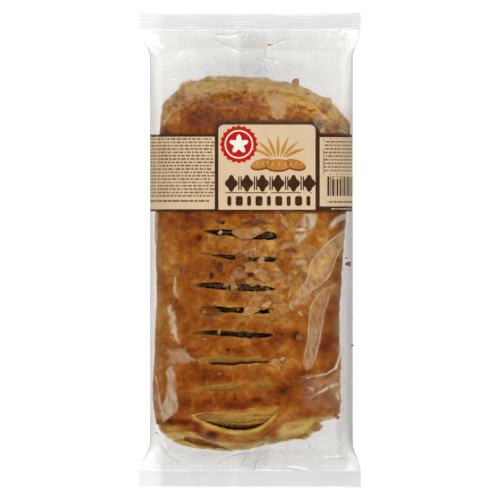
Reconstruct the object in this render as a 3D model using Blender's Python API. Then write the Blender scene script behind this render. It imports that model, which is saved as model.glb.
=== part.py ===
"""A bear claw pastry sealed in a clear flow-wrap pack, lying on its base with the label side up.

The pack is one tube of film, crimped flat at both ends and drawn tight over the pastry inside, so the
film and its contents are one closed solid. Its outer form is a loft along Y: at each station a closed
ring goes over the crowned top from one side fold to the other, and back under the flat base.

Metres, +Z up. The origin is the middle of the pack's box, on the surface that it lies on. +Y points to
the end seal above the label, and the pack's width is along X.
"""

import math

import bmesh
import bpy

# The pack, flat size of the tube and of its end seals
PACK_LENGTH = 0.214
SEAL_WIDTH = 0.100
SEAL_DEPTH = 0.008
SEAL_THICKNESS = 0.0008
SEAL_LIFT = 0.0065  # height of the flat end seals over the surface

# The filled tube between the seals
BODY_WIDTH = 0.0914
BODY_SHIFT = 0.0006  # the filled tube sits a little towards +X of its seals
FLARE_LENGTH = 0.0125  # from the body's width out to a seal's full width
CROWN_HEIGHT = 0.026  # top of the film over the pastry
SIDE_FOLD_HEIGHT = 0.009
FRONT_RAMP = 0.026  # the film runs down this far from the pastry's open end to its seal, at -Y
BACK_RAMP = 0.037  # the same at the other end, where the pastry stops short of the seal
UNDER_RAMP = 0.015  # the base lifts to both seals over this length

OVERREACH = 1.12  # the taut film reaches its full height after this share less than its ramp
SHOULDER = 0.045  # softness of the bend where the ramp meets the crown

# Cross-section: exponents of the superellipses, 2 for a plain ellipse
CROWN_SPREAD, CROWN_DROP = 6.0, 1.35
BASE_SPREAD, BASE_DROP = 3.6, 2.6
BASE_OVERSHOOT = 1.18  # the base's curve would dip this much under the surface, and is cut flat there

# The folds that fan out where the full tube is gathered into a flat seal
PLEAT_HEIGHT = 0.0011
PLEATS = 3.5  # waves across the width
SEAL_WAVE = 0.0007
SEAL_WAVES = 1.5

# The printed band round the tube
BAND_MIDDLE = 0.0351
BAND_LENGTH = 0.0375

FILLED = 0.6  # the fullness from which the film lies on the pastry

# Mesh density
TOP_POINTS = 36
BASE_POINTS = 24
STATIONS = 84
END_CROWDING = 0.35  # 0 spaces the stations evenly, more draws them to the ends

CLEAR_FILM = (0.80, 0.80, 0.79, 1)
CRUST = (0.42, 0.17, 0.04, 1)
PRINTED_TAN = (0.70, 0.51, 0.33, 1)


def clear_scene():
    for old in list(bpy.data.objects):
        bpy.data.objects.remove(old)


def ease(t):
    """0 to 1 with a level start and end."""
    t = min(max(t, 0.0), 1.0)
    return t * t * (3 - 2 * t)


def taut(t):
    """A straight climb from 0 that rounds over a shoulder to stay at 1, as film does that is pulled over an edge."""
    t = max(t, 0.0) * OVERREACH
    blend = max(SHOULDER * 2 - abs(t - 1), 0) / (SHOULDER * 2)
    return min(t, 1.0) - blend * blend * SHOULDER / 2


def from_seal(y):
    """Distance from the nearer seal's inner line, below 0 inside the seal."""
    return PACK_LENGTH / 2 - SEAL_DEPTH - abs(y)


def fullness(y):
    """0 at the seals, 1 where the tube is filled by the pastry."""
    ramp = FRONT_RAMP if y < 0 else BACK_RAMP
    return taut(from_seal(y) / ramp)


def half_width(y):
    return BODY_WIDTH / 2 + (SEAL_WIDTH - BODY_WIDTH) / 2 * (1 - ease(from_seal(y) / FLARE_LENGTH))


def middle_x(y):
    return BODY_SHIFT * ease(from_seal(y) / FLARE_LENGTH)


def seal_height(x):
    """The flat seals hang in a shallow wave across their width."""
    return SEAL_LIFT + SEAL_WAVE * math.sin(2 * math.pi * SEAL_WAVES * x / SEAL_WIDTH)


def fold_height(x, y):
    """Height of the line where the top film meets the base."""
    return seal_height(x) + (SIDE_FOLD_HEIGHT - seal_height(x)) * ease(from_seal(y) / BACK_RAMP)


def pleat(across, y):
    """Low waves that fan out from a seal and die away over the pastry and at the side folds."""
    near_end = math.sin(math.pi * min(max(fullness(y), 0.0), 1.0))
    return PLEAT_HEIGHT * near_end * (1 - across**2) * math.cos(2 * math.pi * PLEATS * across)


def top_height(across, y):
    """Height of the film's top at a share, -1 to 1, of the half width."""
    x = across * half_width(y)
    drop = (1 - abs(across) ** CROWN_SPREAD) ** (1 / CROWN_DROP)
    rise = SEAL_THICKNESS / 2 + (CROWN_HEIGHT - SIDE_FOLD_HEIGHT) * fullness(y)
    return fold_height(x, y) + rise * drop + pleat(across, y)


def base_height(across, y):
    """Height of the film's underside: flat on the surface under the pastry, lifted to the seals at the ends."""
    x = across * half_width(y)
    drop = (1 - abs(across) ** BASE_SPREAD) ** (1 / BASE_DROP)
    depth = SEAL_THICKNESS / 2 + SIDE_FOLD_HEIGHT * BASE_OVERSHOOT * ease(from_seal(y) / UNDER_RAMP)
    return max(fold_height(x, y) - depth * drop, 0.0)


def station_places():
    """Stations along Y, closer together near the ends, where the form changes fastest."""
    places = []
    for i in range(STATIONS + 1):
        share = 2 * i / STATIONS - 1
        places.append(PACK_LENGTH / 2 * ((1 + END_CROWDING) * share - END_CROWDING * share**3))
    return places


def ring(y):
    """One closed loop of points: over the top from the -X fold to the +X fold, and back under the base."""
    points = []
    for i in range(TOP_POINTS):
        across = -math.cos(math.pi * i / TOP_POINTS)
        points.append((middle_x(y) + across * half_width(y), y, top_height(across, y)))
    for i in range(BASE_POINTS):
        across = math.cos(math.pi * i / BASE_POINTS)
        points.append((middle_x(y) + across * half_width(y), y, base_height(across, y)))
    return points


def pack_mesh():
    mesh = bpy.data.meshes.new("wrapped_bear_claw")
    bm = bmesh.new()
    rings = [[bm.verts.new(p) for p in ring(y)] for y in station_places()]
    count = TOP_POINTS + BASE_POINTS
    for near, far in zip(rings, rings[1:]):
        for i in range(count):
            bm.faces.new((near[i], far[i], far[(i + 1) % count], near[(i + 1) % count]))
    bm.faces.new(rings[0])
    bm.faces.new(reversed(rings[-1]))
    bmesh.ops.recalc_face_normals(bm, faces=bm.faces)
    for face in bm.faces:
        face.material_index = finish_at(face.calc_center_median().y)
    bm.to_mesh(mesh)
    bm.free()
    return mesh


def finish_at(y):
    """Slot of the clear ends, of the pastry that fills the tube, or of the printed band."""
    if fullness(y) < FILLED:
        return 0
    return 2 if abs(y - BAND_MIDDLE) < BAND_LENGTH / 2 else 1


def finish(name, colour, roughness):
    made = bpy.data.materials.new(name)
    made.use_nodes = True
    shader = made.node_tree.nodes["Principled BSDF"]
    shader.inputs["Base Color"].default_value = colour
    shader.inputs["Roughness"].default_value = roughness
    shader.inputs["Metallic"].default_value = 0
    return made


def build():
    clear_scene()
    mesh = pack_mesh()
    mesh.materials.append(finish("clear_film", CLEAR_FILM, 0.15))
    mesh.materials.append(finish("baked_crust_under_film", CRUST, 0.3))
    mesh.materials.append(finish("printed_band", PRINTED_TAN, 0.3))
    mesh.shade_smooth()
    mesh.set_sharp_from_angle(angle=math.radians(50))
    bpy.context.scene.collection.objects.link(bpy.data.objects.new("wrapped_bear_claw", mesh))


build()
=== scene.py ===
"""A bear claw pastry in a clear flow-wrap pack, lying with its printed band up.

Shapes are worked out in millimetres and become metres when a mesh is made. X is across the pack, +Y points
to the end seal above the band, and Z is up from the surface that the pack lies on.
"""

import math

import bmesh
import bpy
import numpy as np
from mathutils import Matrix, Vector


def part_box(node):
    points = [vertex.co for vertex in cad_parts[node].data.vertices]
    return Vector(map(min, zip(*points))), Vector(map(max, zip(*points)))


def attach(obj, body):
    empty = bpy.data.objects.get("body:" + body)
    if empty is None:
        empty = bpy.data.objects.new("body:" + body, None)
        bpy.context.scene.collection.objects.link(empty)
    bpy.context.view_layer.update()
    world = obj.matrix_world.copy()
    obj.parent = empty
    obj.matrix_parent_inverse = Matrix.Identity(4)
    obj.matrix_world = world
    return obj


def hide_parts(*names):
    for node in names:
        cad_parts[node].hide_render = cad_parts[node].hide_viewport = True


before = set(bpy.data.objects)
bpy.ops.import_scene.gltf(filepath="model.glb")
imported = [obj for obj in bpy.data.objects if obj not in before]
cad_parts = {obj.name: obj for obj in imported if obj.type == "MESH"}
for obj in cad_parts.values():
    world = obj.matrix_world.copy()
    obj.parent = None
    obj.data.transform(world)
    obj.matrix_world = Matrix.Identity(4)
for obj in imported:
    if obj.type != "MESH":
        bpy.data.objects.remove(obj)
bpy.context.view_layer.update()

MM = 0.001
PACK = "wrapped_bear_claw"
pack_low, pack_high = (np.array(corner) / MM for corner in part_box(PACK))

# ------------------------------------------------------------------ the pack's form, as the solid has it
PACK_LENGTH = pack_high[1] - pack_low[1]
SEAL_WIDTH = pack_high[0] - pack_low[0]
SEAL_DEPTH = 8.0
SEAL_THICKNESS = 0.5
SEAL_LIFT = 6.5
BODY_WIDTH = 91.4
BODY_SHIFT = 0.6
FLARE_LENGTH = 12.5
CROWN_HEIGHT = 26.0
SIDE_FOLD_HEIGHT = 9.0
FRONT_RAMP, BACK_RAMP, UNDER_RAMP = 26.0, 37.0, 15.0
OVERREACH, SHOULDER = 1.12, 0.045  # the film's climb up a ramp, and the softness of the bend at its top
CROWN_SPREAD, CROWN_DROP = 6.0, 1.35
BASE_SPREAD, BASE_DROP = 3.6, 2.6
BASE_OVERSHOOT = 1.18
BASE_CLEARANCE = 0.25  # the film's underside rides on its own lap seam
PLEAT_HEIGHT, PLEATS = 1.1, 3.5
SEAL_WAVE, SEAL_WAVES = 0.7, 1.5


def ease(t):
    """0 to 1 with a level start and end."""
    t = np.clip(t, 0.0, 1.0)
    return t * t * (3 - 2 * t)


def taut(t):
    """A straight climb from 0 that rounds over a shoulder to stay at 1, as film pulled over an edge
    does."""
    t = np.maximum(t, 0.0) * OVERREACH
    blend = np.maximum(SHOULDER * 2 - abs(t - 1), 0) / (SHOULDER * 2)
    return np.minimum(t, 1.0) - blend * blend * SHOULDER / 2


def from_seal(y):
    """Distance from the nearer seal's inner line, below 0 inside the seal."""
    return PACK_LENGTH / 2 - SEAL_DEPTH - abs(y)


def fullness(y):
    """0 at the seals, 1 where the tube is filled by the pastry."""
    return taut(from_seal(y) / np.where(y < 0, FRONT_RAMP, BACK_RAMP))


def half_width(y):
    """Half the tube's width, which flares out to the seals."""
    return BODY_WIDTH / 2 + (SEAL_WIDTH - BODY_WIDTH) / 2 * (1 - ease(from_seal(y) / FLARE_LENGTH))


def middle_x(y):
    """Middle of the tube across its width: it sits a little to the right of its seals."""
    return BODY_SHIFT * ease(from_seal(y) / FLARE_LENGTH)


def across_of(x, y):
    """Share of the half width at which x lies, from -1 to 1."""
    return np.clip((x - middle_x(y)) / half_width(y), -1.0, 1.0)


def fold_height(x, y):
    """Height of the side folds, which run down to the wavy end seals."""
    seal = SEAL_LIFT + SEAL_WAVE * np.sin(2 * np.pi * SEAL_WAVES * x / SEAL_WIDTH)
    return seal + (SIDE_FOLD_HEIGHT - seal) * ease(from_seal(y) / BACK_RAMP)


def smooth_top(across, y):
    """Height of the top film without its wrinkles: a superellipse over the pastry, with low pleats at the
    ends."""
    x = across * half_width(y)
    drop = (1 - abs(across) ** CROWN_SPREAD) ** (1 / CROWN_DROP)
    rise = SEAL_THICKNESS / 2 + (CROWN_HEIGHT - SIDE_FOLD_HEIGHT) * fullness(y)
    near_end = np.sin(np.pi * np.clip(fullness(y), 0, 1))
    pleat = PLEAT_HEIGHT * near_end * (1 - across**2) * np.cos(2 * np.pi * PLEATS * across)
    return fold_height(x, y) + rise * drop + pleat


def smooth_base(across, y):
    """Height of the film's underside: level under the pastry and lifted to the seals at the ends."""
    x = across * half_width(y)
    drop = (1 - abs(across) ** BASE_SPREAD) ** (1 / BASE_DROP)
    depth = SEAL_THICKNESS / 2 + SIDE_FOLD_HEIGHT * BASE_OVERSHOOT * ease(from_seal(y) / UNDER_RAMP)
    return np.maximum(fold_height(x, y) - depth * drop, BASE_CLEARANCE)


# ------------------------------------------------------------------ plain tools
NOISE_CELLS = 64  # random values repeat after this many cells
SEED_TURN = 0.7  # each seed's noise lies at its own angle
LAYER_FADE = 0.55


def noise(x, y, cell, seed):
    """Random values at the corners of square cells, blended inside each with an eased step, from 0 to 1."""
    table = np.random.default_rng(seed).random((NOISE_CELLS, NOISE_CELLS))
    turn = seed * SEED_TURN
    u = (x * math.cos(turn) - y * math.sin(turn)) / cell
    v = (x * math.sin(turn) + y * math.cos(turn)) / cell
    i, j = np.floor(u).astype(int), np.floor(v).astype(int)
    a, b = ease(u - i), ease(v - j)
    i, j, after_i, after_j = (k % NOISE_CELLS for k in (i, j, i + 1, j + 1))
    lower = table[i, j] * (1 - a) + table[after_i, j] * a
    upper = table[i, after_j] * (1 - a) + table[after_i, after_j] * a
    return lower * (1 - b) + upper * b


def mottle(x, y, cell, seed, layers=3):
    """Noise in layers, each with half the cell and 0.55 times the weight of the last, from about -1 to
    1."""
    total, weight, whole = 0.0, 1.0, 0.0
    for layer in range(layers):
        total = total + weight * (noise(x, y, cell / 2**layer, seed + 17 * layer) * 2 - 1)
        whole += weight
        weight *= LAYER_FADE
    return total / whole * 1.5


def ripple(x, cell, seed, row=0.0):
    """Noise along a single line, from -0.5 to 0.5."""
    return noise(x, x * 0 + row, cell, seed) - 0.5


def bell(x, y, middle, along, half_x, half_y, power=1.0):
    """A bell over an ellipse, 1 in its middle and exp(-1) at its half sizes. A higher power makes it
    flatter on top and steeper at its rim."""
    return np.exp(-((((x - middle) / half_x) ** 2 + ((y - along) / half_y) ** 2) ** power))


def turned(along, aside, degrees):
    """Places turned anticlockwise about the origin."""
    cos, sin = np.cos(np.radians(degrees)), np.sin(np.radians(degrees))
    return along * cos - aside * sin, along * sin + aside * cos


def quarter_round(t):
    """0 to 1 along a quarter circle, steep at first."""
    return np.sqrt(np.clip(1 - (1 - np.clip(t, 0, 1)) ** 2, 0, 1))


def facets(x, y, cell, seed):
    """The random value of the nearest of a set of jittered grid points, so cells with straight sides, and
    how near each place is to the line between two cells, from 0 to 1."""
    table = np.random.default_rng(seed).random((3, NOISE_CELLS, NOISE_CELLS))
    column, row = np.floor(x / cell).astype(int), np.floor(y / cell).astype(int)
    best, second, value = (np.full(np.shape(x), start) for start in (1e9, 1e9, 0.0))
    for across in (-1, 0, 1):
        for along in (-1, 0, 1):
            i, j = column + across, row + along
            jitter = table[:, i % NOISE_CELLS, j % NOISE_CELLS]
            away = np.hypot(x - (i + jitter[0]) * cell, y - (j + jitter[1]) * cell)
            closer = away < best
            second = np.where(closer, best, np.minimum(second, away))
            value = np.where(closer, jitter[2], value)
            best = np.where(closer, away, best)
    return value, np.exp(-(((second - best) / 0.4) ** 2))


def to_path(x, y, path):
    """Distance from each point to a path of straight legs, and the share of the path at the nearest
    point."""
    legs = np.diff(np.array(path, float), axis=0)
    lengths = np.hypot(legs[:, 0], legs[:, 1])
    starts = np.concatenate([[0], np.cumsum(lengths)[:-1]])
    best, share = np.full(np.shape(x), 1e9), np.zeros(np.shape(x))
    for (foot_x, foot_y), (leg_x, leg_y), length, start in zip(path, legs, lengths, starts):
        t = np.clip(((x - foot_x) * leg_x + (y - foot_y) * leg_y) / max(length**2, 1e-9), 0, 1)
        away = np.hypot(x - foot_x - t * leg_x, y - foot_y - t * leg_y)
        share = np.where(away < best, (start + t * length) / lengths.sum(), share)
        best = np.minimum(best, away)
    return best, share


def inside(x, y, outline):
    """True for the points inside a closed outline, by counting how many of its sides lie to their right."""
    odd = np.zeros(np.shape(x), bool)
    for (ax, ay), (bx, by) in zip(outline, outline[1:] + outline[:1]):
        if ay != by:
            odd ^= ((ay > y) != (by > y)) & (x < (bx - ax) * (y - ay) / (by - ay) + ax)
    return odd


def boxed(x, y, path, margin=0.0):
    """True for the points in the box round a path, with a margin."""
    low, high = np.min(path, axis=0) - margin, np.max(path, axis=0) + margin
    return (x > low[0]) & (x < high[0]) & (y > low[1]) & (y < high[1])


def point_list(x, y, z):
    """Three grids of coordinates as one list of points."""
    return np.stack(np.broadcast_arrays(x, y, z), -1).reshape(-1, 3)


def grid_faces(rows, columns, wrap=False, start=0):
    """Quads between neighbouring points of a grid whose rows follow each other, upwards for X then Y."""
    row = np.arange(rows - 1)[:, None] * columns
    column = np.arange(columns if wrap else columns - 1)[None, :]
    after = (column + 1) % columns
    corners = [row + column, row + after, row + after + columns, row + column + columns]
    return np.stack(corners, -1).reshape(-1, 4) + start


def disc_faces(rings, spokes):
    """The faces of a disc whose points are its middle and then its rings, from the inside out: triangles
    round the middle, and quads."""
    near = np.arange(spokes)
    after = (near + 1) % spokes
    fan = np.stack([0 * near, 1 + near, 1 + after], -1)
    band = np.stack([near, near + spokes, after + spokes, after], -1) + 1
    return fan, np.vstack([band + ring * spokes for ring in range(rings - 1)])


def repeated(groups, count, size):
    """Groups of faces again for each of several forms whose points follow each other, so many to a form."""
    starts = (np.arange(count) * size)[:, None, None]
    return [(group + starts).reshape(-1, group.shape[1]) for group in groups]


def many_grids(count, rows, columns, wrap=False):
    """The quads of several grids of one size, whose points follow each other."""
    return repeated([grid_faces(rows, columns, wrap)], count, rows * columns)[0]


def make_piece(name, points, faces, material, flags=None, weld=False):
    """A mesh from points in millimetres and arrays of quads or triangles, with one number a point for each
    flag."""
    mesh = bpy.data.meshes.new(name)
    faces = faces if isinstance(faces, list) else [faces]
    corners = np.concatenate([group.ravel() for group in faces]).astype(np.int32)
    sizes = np.concatenate([np.full(len(group), group.shape[1]) for group in faces])
    starts = np.concatenate([[0], np.cumsum(sizes)[:-1]]).astype(np.int32)
    mesh.vertices.add(len(points))
    mesh.vertices.foreach_set("co", (np.asarray(points) * MM).astype(np.float32).ravel())
    mesh.loops.add(len(corners))
    mesh.loops.foreach_set("vertex_index", corners)
    mesh.polygons.add(len(sizes))
    mesh.polygons.foreach_set("loop_start", starts)
    for flag, values in (flags or {}).items():
        layer = mesh.attributes.new(flag, "FLOAT", "POINT")
        layer.data.foreach_set("value", np.asarray(values, np.float32).ravel())
    mesh.update(calc_edges=True)
    mesh.validate()
    if weld:
        weld_points(mesh)
    mesh.shade_smooth()
    mesh.materials.append(material)
    piece = bpy.data.objects.new(name, mesh)
    bpy.context.scene.collection.objects.link(piece)
    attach(piece, "root")
    return piece


def weld_points(mesh):
    """Joins points that lie on each other, as at the poles of a closed form."""
    bm = bmesh.new()
    bm.from_mesh(mesh)
    bmesh.ops.remove_doubles(bm, verts=bm.verts, dist=0.00001)
    bm.to_mesh(mesh)
    bm.free()


# ------------------------------------------------------------------ the pastry's outline
# As seen from above: place along Y, left edge, right edge.
EDGES = np.array([
    (-90.4, -12, -6), (-90, -18.8, -2.5), (-89.5, -22.5, 0.5), (-88, -27, 5.6), (-87.2, -33.6, 9.5),
    (-86.6, -34.3, 12), (-85.7, -34.9, 16.5), (-85.2, -36, 24.6), (-84.2, -37.4, 26.3),
    (-83.5, -38.6, 26.9), (-82.2, -39.4, 28.6), (-81.4, -40.2, 31.4), (-80.1, -41.1, 32.2),
    (-79, -41.3, 32), (-78.2, -42.5, 31.5), (-77.1, -42.6, 32.6), (-76.3, -42.7, 36.6),
    (-75.4, -42.8, 39.2), (-73.7, -43, 40.5), (-72, -43.3, 40.6), (-67.7, -43.7, 41), (-58.7, -43.7, 40.6),
    (-49.7, -43, 41), (-36.2, -42.7, 40.2), (-22.7, -42, 40.6), (-9.2, -42.2, 41.5), (4, -42.6, 42.4),
    (13.3, -42.7, 43.2), (26, -42, 44.2), (40, -41.4, 44.8), (53.8, -40.6, 45.3), (57.4, -40.3, 45.2),
    (59.2, -40.2, 43.8), (61.1, -40, 41.3), (62.8, -39.7, 40), (64.9, -39.4, 38.3), (66.8, -38.3, 36.4),
    (68.4, -36.7, 35.4), (68.8, -36.2, 32.8), (70.1, -34.8, 30), (72, -32.4, 27), (73.2, -31.9, 24.4),
    (74.3, -31.4, 21.6), (75, -30.6, 18), (75.7, -29.6, 15), (76, -24.4, 13), (76.4, -23.2, 11.8),
    (77, -22.4, 9), (77.5, -20.8, 6), (77.9, -18, -4), (78.3, -14, -9),
])
RIGHT_EDGE = tuple(map(tuple, EDGES[:, [2, 0]]))
LEFT_EDGE = tuple(map(tuple, EDGES[::-1][:, [1, 0]]))
OUTLINE = RIGHT_EDGE + LEFT_EDGE


def edges_at(y):
    """The left and the right edge at places along Y."""
    return np.interp(y, EDGES[:, 0], EDGES[:, 1]), np.interp(y, EDGES[:, 0], EDGES[:, 2])


# ------------------------------------------------------------------ the film's creases
# Each crease is its height, its half width and the path that it follows over the pack.
CREASES = [
    # right shoulder, beside the cuts
    (0.45, 0.55, ((43.2, 8.7), (39.5, 6.8), (35.6, 3.7), (32.9, 1), (30.1, -2), (27.6, -5.1), (26.5, -8.1),
     (26.3, -11.7), (25.4, -14.2), (22.3, -17.2), (21.5, -21.4), (21, -24))),
    (0.45, 0.55, ((46.2, 5.9), (43, 3.7), (40, -0.4), (37.8, -5.4), (36.1, -10.9), (34.5, -13.4),
     (31.2, -15.9), (27.3, -18.6), (24.5, -21.1), (23.2, -22.5))),
    (0.3, 0.6, ((45.5, 16.4), (44.1, 16.2), (38.3, 14.5), (35.3, 10.4), (34.7, 8.1))),
    (0.3, 0.45, ((45, 14.6), (44.1, 14.8), (40, 13.1), (37.5, 10.4), (35.2, 7.8))),
    (0.35, 0.5, ((24.2, 16.8), (22.6, 13.1), (19, 9), (20.4, 4.5), (21.4, 2))),
    (0.3, 0.5, ((19.2, 9.1), (22.5, 9.2), (25.9, 8.8))),
    (0.3, 0.35, ((21.2, 12), (24.4, 11), (26, 11.6))),
    (0.3, 0.45, ((30.2, 16), (29, 9), (25.7, 5.7), (22.6, 2.3))),
    (0.3, 0.35, ((14.2, 14.4), (17, 10.6), (19, 7.5))),
    (0.3, 0.4, ((17.6, 2.6), (20.5, 0.4), (24, -0.6))),
    (0.3, 0.35, ((33.6, -23.8), (35.6, -19.6), (36.4, -15.4))),
    (0.4, 0.6, ((38.6, -15.1), (33.8, -17.3), (30, -21.1), (27.4, -24.8), (26.8, -30.1), (25.9, -40.6),
     (24.5, -47), (23.6, -51.5))),
    (0.4, 0.6, ((36, -18.8), (35.3, -21.8), (33.4, -27.1), (32.6, -32.3), (31.1, -40.6), (29.6, -46.3),
     (28.8, -50.6), (25.7, -54))),
    (0.4, 0.4, ((40.5, -43), (40.5, -48.5), (38.5, -53), (34, -55.5), (25, -57), (20.5, -56.8))),
    (0.35, 0.45, ((25, -62.1), (29.4, -64.3), (25.5, -67.1))),
    (0.35, 0.45, ((29.4, -64.3), (34.5, -62.6), (41.2, -61.4))),
    (0.3, 0.4, ((37.8, -64.3), (39.4, -66.5), (41.2, -69.3))),
    # left shoulder
    (0.35, 0.5, ((-41.3, 17), (-41.5, 6), (-42.4, -5.2))),
    (0.3, 0.5, ((-33.4, -11.5), (-33.6, -16), (-34.2, -19), (-31.8, -22.5))),
    (0.27, 0.5, ((-37, -24), (-36.4, -32), (-33.4, -43))),
    (0.27, 0.5, ((-35, -24.4), (-32.5, -33), (-30.7, -43))),
    (0.3, 0.4, ((-37, -47), (-31, -46), (-24, -49.5))),
    (0.27, 0.5, ((-37.4, -52.5), (-37, -62), (-37.8, -73))),
    (0.27, 0.45, ((-33.6, -52.5), (-33.2, -63), (-33.3, -73))),
    (0.35, 0.5, ((-42.8, -55.6), (-40.4, -67.3), (-38.7, -76.9))),
    (0.2, 0.3, ((-39, -62.8), (-33, -63.6), (-25, -63))),
    (0.2, 0.3, ((-38.5, -65.2), (-32, -64.6), (-26.5, -65.4))),
    # over the upper end of the pastry
    (0.35, 0.45, ((-40.5, 53.3), (-38, 58), (-34, 61.9), (-24.3, 67), (-13, 71))),
    (0.3, 0.4, ((5.6, 71), (15, 71.6), (24.5, 69.4), (33, 63), (40.6, 55.4))),
    (0.4, 0.4, ((29.3, 63), (34.9, 58.4), (37.5, 57.3), (44.3, 53.5))),
    (0.36, 0.35, ((34.9, 52.5), (39.8, 53.6), (44.3, 53.6))),
    # the upper end's clear film
    (0.45, 0.6, ((-16.8, 96.9), (-9.9, 96.3), (-3, 98.3))),
    (0.45, 0.6, ((-18.2, 95.6), (-9.9, 91.4), (-3, 89), (-0.3, 90), (-0.3, 97.6))),
    (0.4, 0.5, ((-6.2, 97.3), (-3, 94.9), (-1.4, 98))),
    (0.4, 0.6, ((2.5, 85.9), (5.9, 84.6), (7.3, 90.7))),
    (0.4, 0.5, ((6.6, 90.7), (12, 93), (17.6, 95.6))),
    (0.2, 0.35, ((17.6, 95.6), (17.3, 89), (17, 83.2))),
    (0.2, 0.35, ((-24.4, 96), (-24.3, 89), (-24.4, 82.5))),
    (0.35, 0.45, ((2.5, 85.9), (9, 86.2), (16, 83.8))),
    (0.35, 0.5, ((5.2, 82.5), (2.5, 78.3))),
    (0.35, 0.5, ((6.2, 82.4), (8.4, 79))),
    (0.3, 0.8, ((-30.6, 90), (-33.5, 87), (-36.8, 84.6))),
    (0.3, 0.6, ((31, 88), (33, 84), (32.4, 80.5))),
    (0.3, 0.5, ((19, 81.5), (24.5, 80))),
    (0.3, 0.7, ((-36, 78), (-30, 75.6), (-26, 76.6))),
    (0.3, 0.5, ((1, 101.3), (9, 101), (18, 101.8))),
    # the lower end's clear film
    (0.5, 0.7, ((24.6, -83.4), (26.6, -88.2), (29.8, -91))),
    (0.5, 0.8, ((8, -88.6), (13.5, -90.6), (17, -93.6))),
    (0.5, 0.8, ((16.5, -98), (22, -98.6), (27, -100.2))),
    (0.4, 0.6, ((32, -93.7), (38, -93.4), (43, -93.3))),
    (0.45, 1, ((-4.5, -98), (-1.5, -92.5), (5, -88.5))),
    (0.4, 0.9, ((-15.5, -97), (-9, -92.5), (2, -90.5))),
    (0.4, 0.8, ((-40, -86), (-37, -92), (-31, -96))),
    (0.35, 0.8, ((1.5, -99), (3, -94), (10, -91.5))),
    (0.3, 0.6, ((-37.5, -80), (-39.6, -86), (-38, -91.5))),
]
RIB_PITCH = 1.4  # the crimping jaws' ribs across both seals
RIB_HEIGHT = 0.05
STRAY_CREASES = 110


def stray_creases():
    """Short curved creases scattered over both clear ends and, fewer, over the pastry's sides."""
    draw = np.random.default_rng(11)
    found = []
    for _ in range(STRAY_CREASES):
        place = draw.random()
        if place < 0.42:
            x, y = draw.uniform(-44, 44), draw.uniform(70, 98)
        elif place < 0.80:
            x, y = draw.uniform(-44, 44), draw.uniform(-99, -84)
        else:
            x, y = draw.choice([-1, 1]) * draw.uniform(24, 44), draw.uniform(-80, 60)
        heading, bend, length = draw.uniform(0, 2 * np.pi), draw.normal(0, 0.35), draw.uniform(3, 11)
        steps = [(x, y)]
        for _ in range(3):
            x, y = x + length / 3 * math.cos(heading), y + length / 3 * math.sin(heading)
            heading += bend
            steps.append((x, y))
        found.append((draw.uniform(0.05, 0.2), draw.uniform(0.5, 1.2), tuple(steps)))
    return found


ALL_CREASES = CREASES + stray_creases()


def ribs(y):
    """The seals' fine ribs, level between the seals."""
    return RIB_HEIGHT * np.sin(2 * np.pi * y / RIB_PITCH) * ease(-from_seal(y) / 0.5)


def wrinkles(across, y):
    """Lift of the film over its smooth form: a bell-shaped ridge along every crease, faded at both of its
    ends, on low random swells. Also how creased the film is, from 0 to 1."""
    x = middle_x(y) + across * half_width(y)
    calm = 0.08 + 0.10 * ease((0.9 - fullness(y)) / 0.3)
    lift = calm * mottle(x, y, 7.0, 5)
    creased = np.zeros(np.shape(x))
    for height, width, path in ALL_CREASES:
        near = boxed(x, y, path, 3 * width)
        if near.any():
            away, share = to_path(x[near], y[near], path)
            ridge = np.exp(-((away / width) ** 2)) * ease(share / 0.15) * ease((1 - share) / 0.15)
            lift[near] += height * ridge
            creased[near] = np.maximum(creased[near], ridge)
    lift = lift * (1 - ease(-from_seal(y) / 0.8)) * ease((1 - abs(across)) / 0.06)
    worn = 0.3 + 0.7 * ease(noise(x, y * 3, 12.0, 8) * 2 - 0.6)  # the ribs are pressed less in some places
    return lift + worn * ribs(y), creased


def film_top(across, y):
    """Height of the top film with its wrinkles."""
    return smooth_top(across, y) + wrinkles(across, y)[0]


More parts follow.
